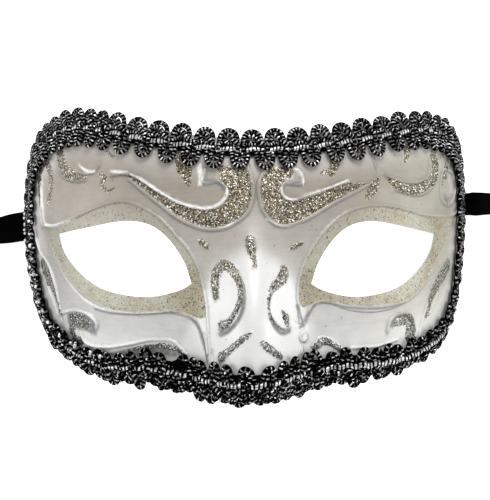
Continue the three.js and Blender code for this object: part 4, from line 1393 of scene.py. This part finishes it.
def shell_material():
    nodes = Nodes("pearl paint and glitter")
    cloudy = nodes.noise(22, 4)
    streaks = nodes.noise(5, 6)
    grain = nodes.noise(0.5, 2)
    axes = nodes.add("ShaderNodeSeparateXYZ", {"Vector": nodes.place})
    brow = nodes.step(nodes.scaled(cloudy, CLOUD_SHIFT, axes.outputs["Y"]), *FADE["brow"])
    corner = nodes.step(nodes.scaled(cloudy, CLOUD_SHIFT, axes.outputs["X"]), *FADE["corner"])
    slanted = nodes.add("ShaderNodeMapping", {
        "Vector": nodes.place,
        "Rotation": (0, 0, BRUSHING["angle"]),
        "Scale": BRUSHING["scale"],
    })
    brushing = nodes.noise(2.5, 4, slanted.outputs["Vector"])
    tone = nodes.scaled(streaks, 0.35, nodes.times(cloudy, 0.35))
    tone = nodes.scaled(brushing, 0.3, tone)
    cool, warm, pale, cream = (nodes.ramp(tone, list(zip(TONES, shades))) for shades in PAINT.values())
    # Darker paint on the brow, partly painted shade on the forehead
    paint = nodes.mix(brow, nodes.mix(corner, cool, cream), nodes.mix(corner, warm, pale))
    # White over the nose, partly a painted highlight
    whitened = nodes.math("ADD", nodes.value("nose"), nodes.scaled(grain, 0.5, -0.25))
    highlight_white = nodes.times(nodes.step(whitened, 0, 1), nodes.blend(streaks, 0.75, 1.05))
    paint = nodes.mix(highlight_white, paint, NOSE_WHITE)
    # Painted light along the edge, lifting the shade beside the braid: strongest on the left side, strong
    # below the brow, weaker on it
    left_side = nodes.step(nodes.times(axes.outputs["X"], -1.0), *FADE["left_edge"])
    edge_light = nodes.math("MAXIMUM", nodes.blend(brow, 0.85, 0.4), left_side)
    edge_light = nodes.times(nodes.value("edge_light"), edge_light)
    paint = nodes.mix(edge_light, paint, EDGE_LIGHT_WHITE)
    # Painted shade under the ridges and along the lower braid, partly grey paint, broken by brush marks
    brushed = nodes.step(nodes.noise(1.6, 4), 0.1, 0.6)
    grey_and_shade_part = nodes.times(nodes.value("grey_and_shade"), nodes.blend(brushed, 0.6, 1.0))
    paint = nodes.mix(grey_and_shade_part, paint, GREY_AND_SHADE)
    # Painted highlights in white on the crests, broken by brush marks
    paint = nodes.mix(nodes.times(nodes.value("highlight_white"), brushed), paint, HIGHLIGHT_WHITE)
    paint = nodes.mix(nodes.blend(grain, 0, 0.22), paint, gray(0.12))

    frayed = nodes.scaled(nodes.noise(0.8, 3), 2.2, -1.1)
    glitter = nodes.step(nodes.math("ADD", frayed, nodes.value("glitter")), -0.1, 0.15)
    thin = nodes.blend(nodes.noise(3, 2), -0.2, 0.75)
    sparse = nodes.math("GREATER_THAN", nodes.picked(FLAKE, "Green"), thin)
    glitter = nodes.times(glitter, nodes.blend(sparse, 0.55, 1.0))
    outer = nodes.step(nodes.math("ABSOLUTE", axes.outputs["X"]), *FADE["temples"])
    warmth = nodes.times(brow, nodes.blend(outer, 1.0, 0.5))
    flakes = glitter_color(nodes, FLAKE, warmth)

    sparkle = nodes.step(nodes.value("sparkle"), -0.2, 0.5)
    hue = nodes.ramp(nodes.noise(7, 2), DUST_HUES)
    # Dust darkened on the brow, partly painted shade
    hue = nodes.mix(nodes.times(brow, 0.16), hue, gray(0))
    dust = nodes.ramp(nodes.picked(DUST, "Green"), DUST_LEVELS, sharp=True)
    dusty = nodes.mix(1.0, hue, dust, "MULTIPLY")
    inner_brow = nodes.times(brow, nodes.math("SUBTRACT", 1.0, corner))
    dusted = nodes.times(sparkle, nodes.blend(inner_brow, 0.9, 0.2))
    surround = nodes.mix(dusted, paint, dusty)
    # Darker olive, with more dark specks, in the corners of the surrounds beside the nose
    olive_part = nodes.times(nodes.value("olive_part"), sparkle)
    surround = nodes.mix(nodes.times(olive_part, 0.65), surround, CORNER_OLIVE)
    often = nodes.scaled(olive_part, -0.1, nodes.blend(sparkle, 0.999, 0.97))
    dark = nodes.math("GREATER_THAN", nodes.picked(SPECK, "Blue"), often)
    surround = nodes.mix(dark, surround, SPECK_DARK)
    color = nodes.mix(glitter, surround, flakes)
    color = nodes.mix(nodes.value("hollow"), color, HOLLOW_WHITE)

    tilt = nodes.bump(nodes.noise(0.5, 1), 0.25, nodes.blend(glitter, 0.0, 1.0))
    normal = nodes.bump(streaks, 0.25, 0.25, tilt)
    return nodes.finish(
        Base_Color=color,
        Metallic=nodes.blend(glitter, 0.12, 0.45),
        Roughness=nodes.blend(glitter, 0.42, 0.28),
        Normal=normal,
        Coat_Weight=0.08,
        Coat_Roughness=0.3,
    )


def braid_material():
    """Silver foil wound over black thread; the core is mostly foil, and the dark band under the cords, which
    is also painted shade between the loops, is all thread. Foil shows only where a cord faces out or up, so
    its sides are painted shade, and less of it shows on the lower braid, also painted shade.
    """
    nodes = Nodes("silver foil and black thread")
    amount = nodes.value("foil")
    uneven = nodes.scaled(nodes.noise(3, 1), 1.1, nodes.value("turns"))
    wave = nodes.math("SINE", nodes.times(uneven, 2 * math.pi))
    wide = nodes.blend(nodes.noise(2.4, 1), -0.55, 1.6)
    wide = nodes.scaled(amount, -0.85, wide)
    height = nodes.add("ShaderNodeSeparateXYZ", {"Vector": nodes.place}).outputs["Y"]
    # Less foil on the lower braid: painted shade
    wide = nodes.scaled(nodes.step(height, *FADE["lower_braid"]), 0.22, wide)
    band = nodes.step(nodes.math("SUBTRACT", wave, wide), -0.04, 0.08)
    # Foil only where the cord faces out or up: its lower sides stay black as painted shade
    facing = nodes.scaled(nodes.noise(1.2, 1), 0.4, nodes.value("facing"))
    top = nodes.step(facing, 0.42, 0.68)
    silver = nodes.times(nodes.times(band, top), nodes.step(amount, -0.9, -0.1))
    varied = nodes.blend(nodes.noise(4, 1), -0.3, 1.1)
    solid = nodes.times(nodes.math("MAXIMUM", amount, 0.0), varied)
    foil = nodes.ramp(nodes.noise(1.3, 2), [(0.34, gray(0.025)), (0.5, gray(0.2)), (0.65, gray(0.9))])
    foil = nodes.mix(solid, foil, gray(0.9))
    color = nodes.mix(silver, gray(0.001), foil)
    normal = nodes.bump(nodes.noise(0.5, 2), 0.15, 0.5, nodes.bump(band, 0.12, 0.7))
    return nodes.finish(
        Base_Color=color,
        Metallic=nodes.blend(silver, 0, 0.75),
        Roughness=nodes.blend(silver, 0.75, 0.32),
        Normal=normal,
        Specular_IOR_Level=0.01,
    )


# Weave of the satin: ribs along it and threads in each half of its width
RIB_SPACING = 0.45
THREADS_EACH_HALF = 14


def ribbon_material():
    nodes = Nodes("black satin")
    along = nodes.value("along")
    across = nodes.value("across")
    ribs = nodes.math("SINE", nodes.times(along, 2 * math.pi / RIB_SPACING))
    threads = nodes.math("SINE", nodes.times(across, 2 * math.pi * THREADS_EACH_HALF))
    weave = nodes.math("ADD", nodes.times(ribs, 0.5), nodes.times(threads, 0.3))
    selvedge = nodes.step(nodes.math("ABSOLUTE", across), 0.86, 0.9)
    color = nodes.mix(selvedge, (0.0009, 0.0009, 0.001, 1), (0.002, 0.002, 0.0022, 1))
    color = nodes.mix(nodes.blend(nodes.noise(3, 3), 0, 0.4), color, gray(0.0004))
    return nodes.finish(
        Base_Color=color,
        Roughness=nodes.blend(selvedge, 0.5, 0.65),
        Normal=nodes.bump(weave, 0.06, 0.5),
        Specular_IOR_Level=0.012,
    )


def floor_material():
    nodes = Nodes("studio floor")
    return nodes.finish(Base_Color=gray(0.93), Roughness=0.95, Emission_Color=gray(1), Emission_Strength=0.6)


def paint_all():
    finishes = {"shell": shell_material(), "braid": braid_material(), "ribbon": ribbon_material()}
    for piece in list(scene.collection.all_objects):
        kind = piece.get("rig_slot")
        if piece.type == "MESH" and kind in finishes and "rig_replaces" in piece:
            piece.data.materials.clear()
            piece.data.materials.append(finishes[kind])


paint_all()

# Studio: a pale floor, a bright surround and one soft key light from the forehead side
FLOOR_HALF = 1200
FLOOR_DROP = 0.05
SURROUND_STRENGTH = 0.6
# Area lights: name, place, target, size and power
LIGHTS = [
    ("key", (60, 430, 470), (0, 0, 30), 300, 2.6),
    ("chin_fill", (60, -600, 240), (0, 0, 20), 400, 1.2),
    ("left_fill", (-560, 0, 200), (0, 0, 20), 300, 0.8),
    ("right_fill", (560, 0, 200), (0, 0, 20), 300, 0.8),
]


def add_floor():
    signs = [(-1, -1), (1, -1), (1, 1), (-1, 1)]
    corners = [(x * FLOOR_HALF, y * FLOOR_HALF, -FLOOR_DROP) for x, y in signs]
    floor = add_mesh("floor", corners, [(0, 1, 2, 3)], {})
    floor.data.materials.append(floor_material())


def add_light(name, place, target, size, power):
    data = bpy.data.lights.new(name, "AREA")
    data.size = size * MM
    data.energy = power
    light = bpy.data.objects.new(name, data)
    light.location = Vector(place) * MM
    aim = Vector(target) * MM - light.location
    light.rotation_euler = aim.to_track_quat("-Z", "Y").to_euler()
    scene.collection.objects.link(light)


add_floor()
for light in LIGHTS:
    add_light(*light)

world = bpy.data.worlds.new("studio")
world.use_nodes = True
world.node_tree.nodes["Background"].inputs["Color"].default_value = gray(1)
world.node_tree.nodes["Background"].inputs["Strength"].default_value = SURROUND_STRENGTH
scene.world = world
scene.view_settings.view_transform = "Standard"
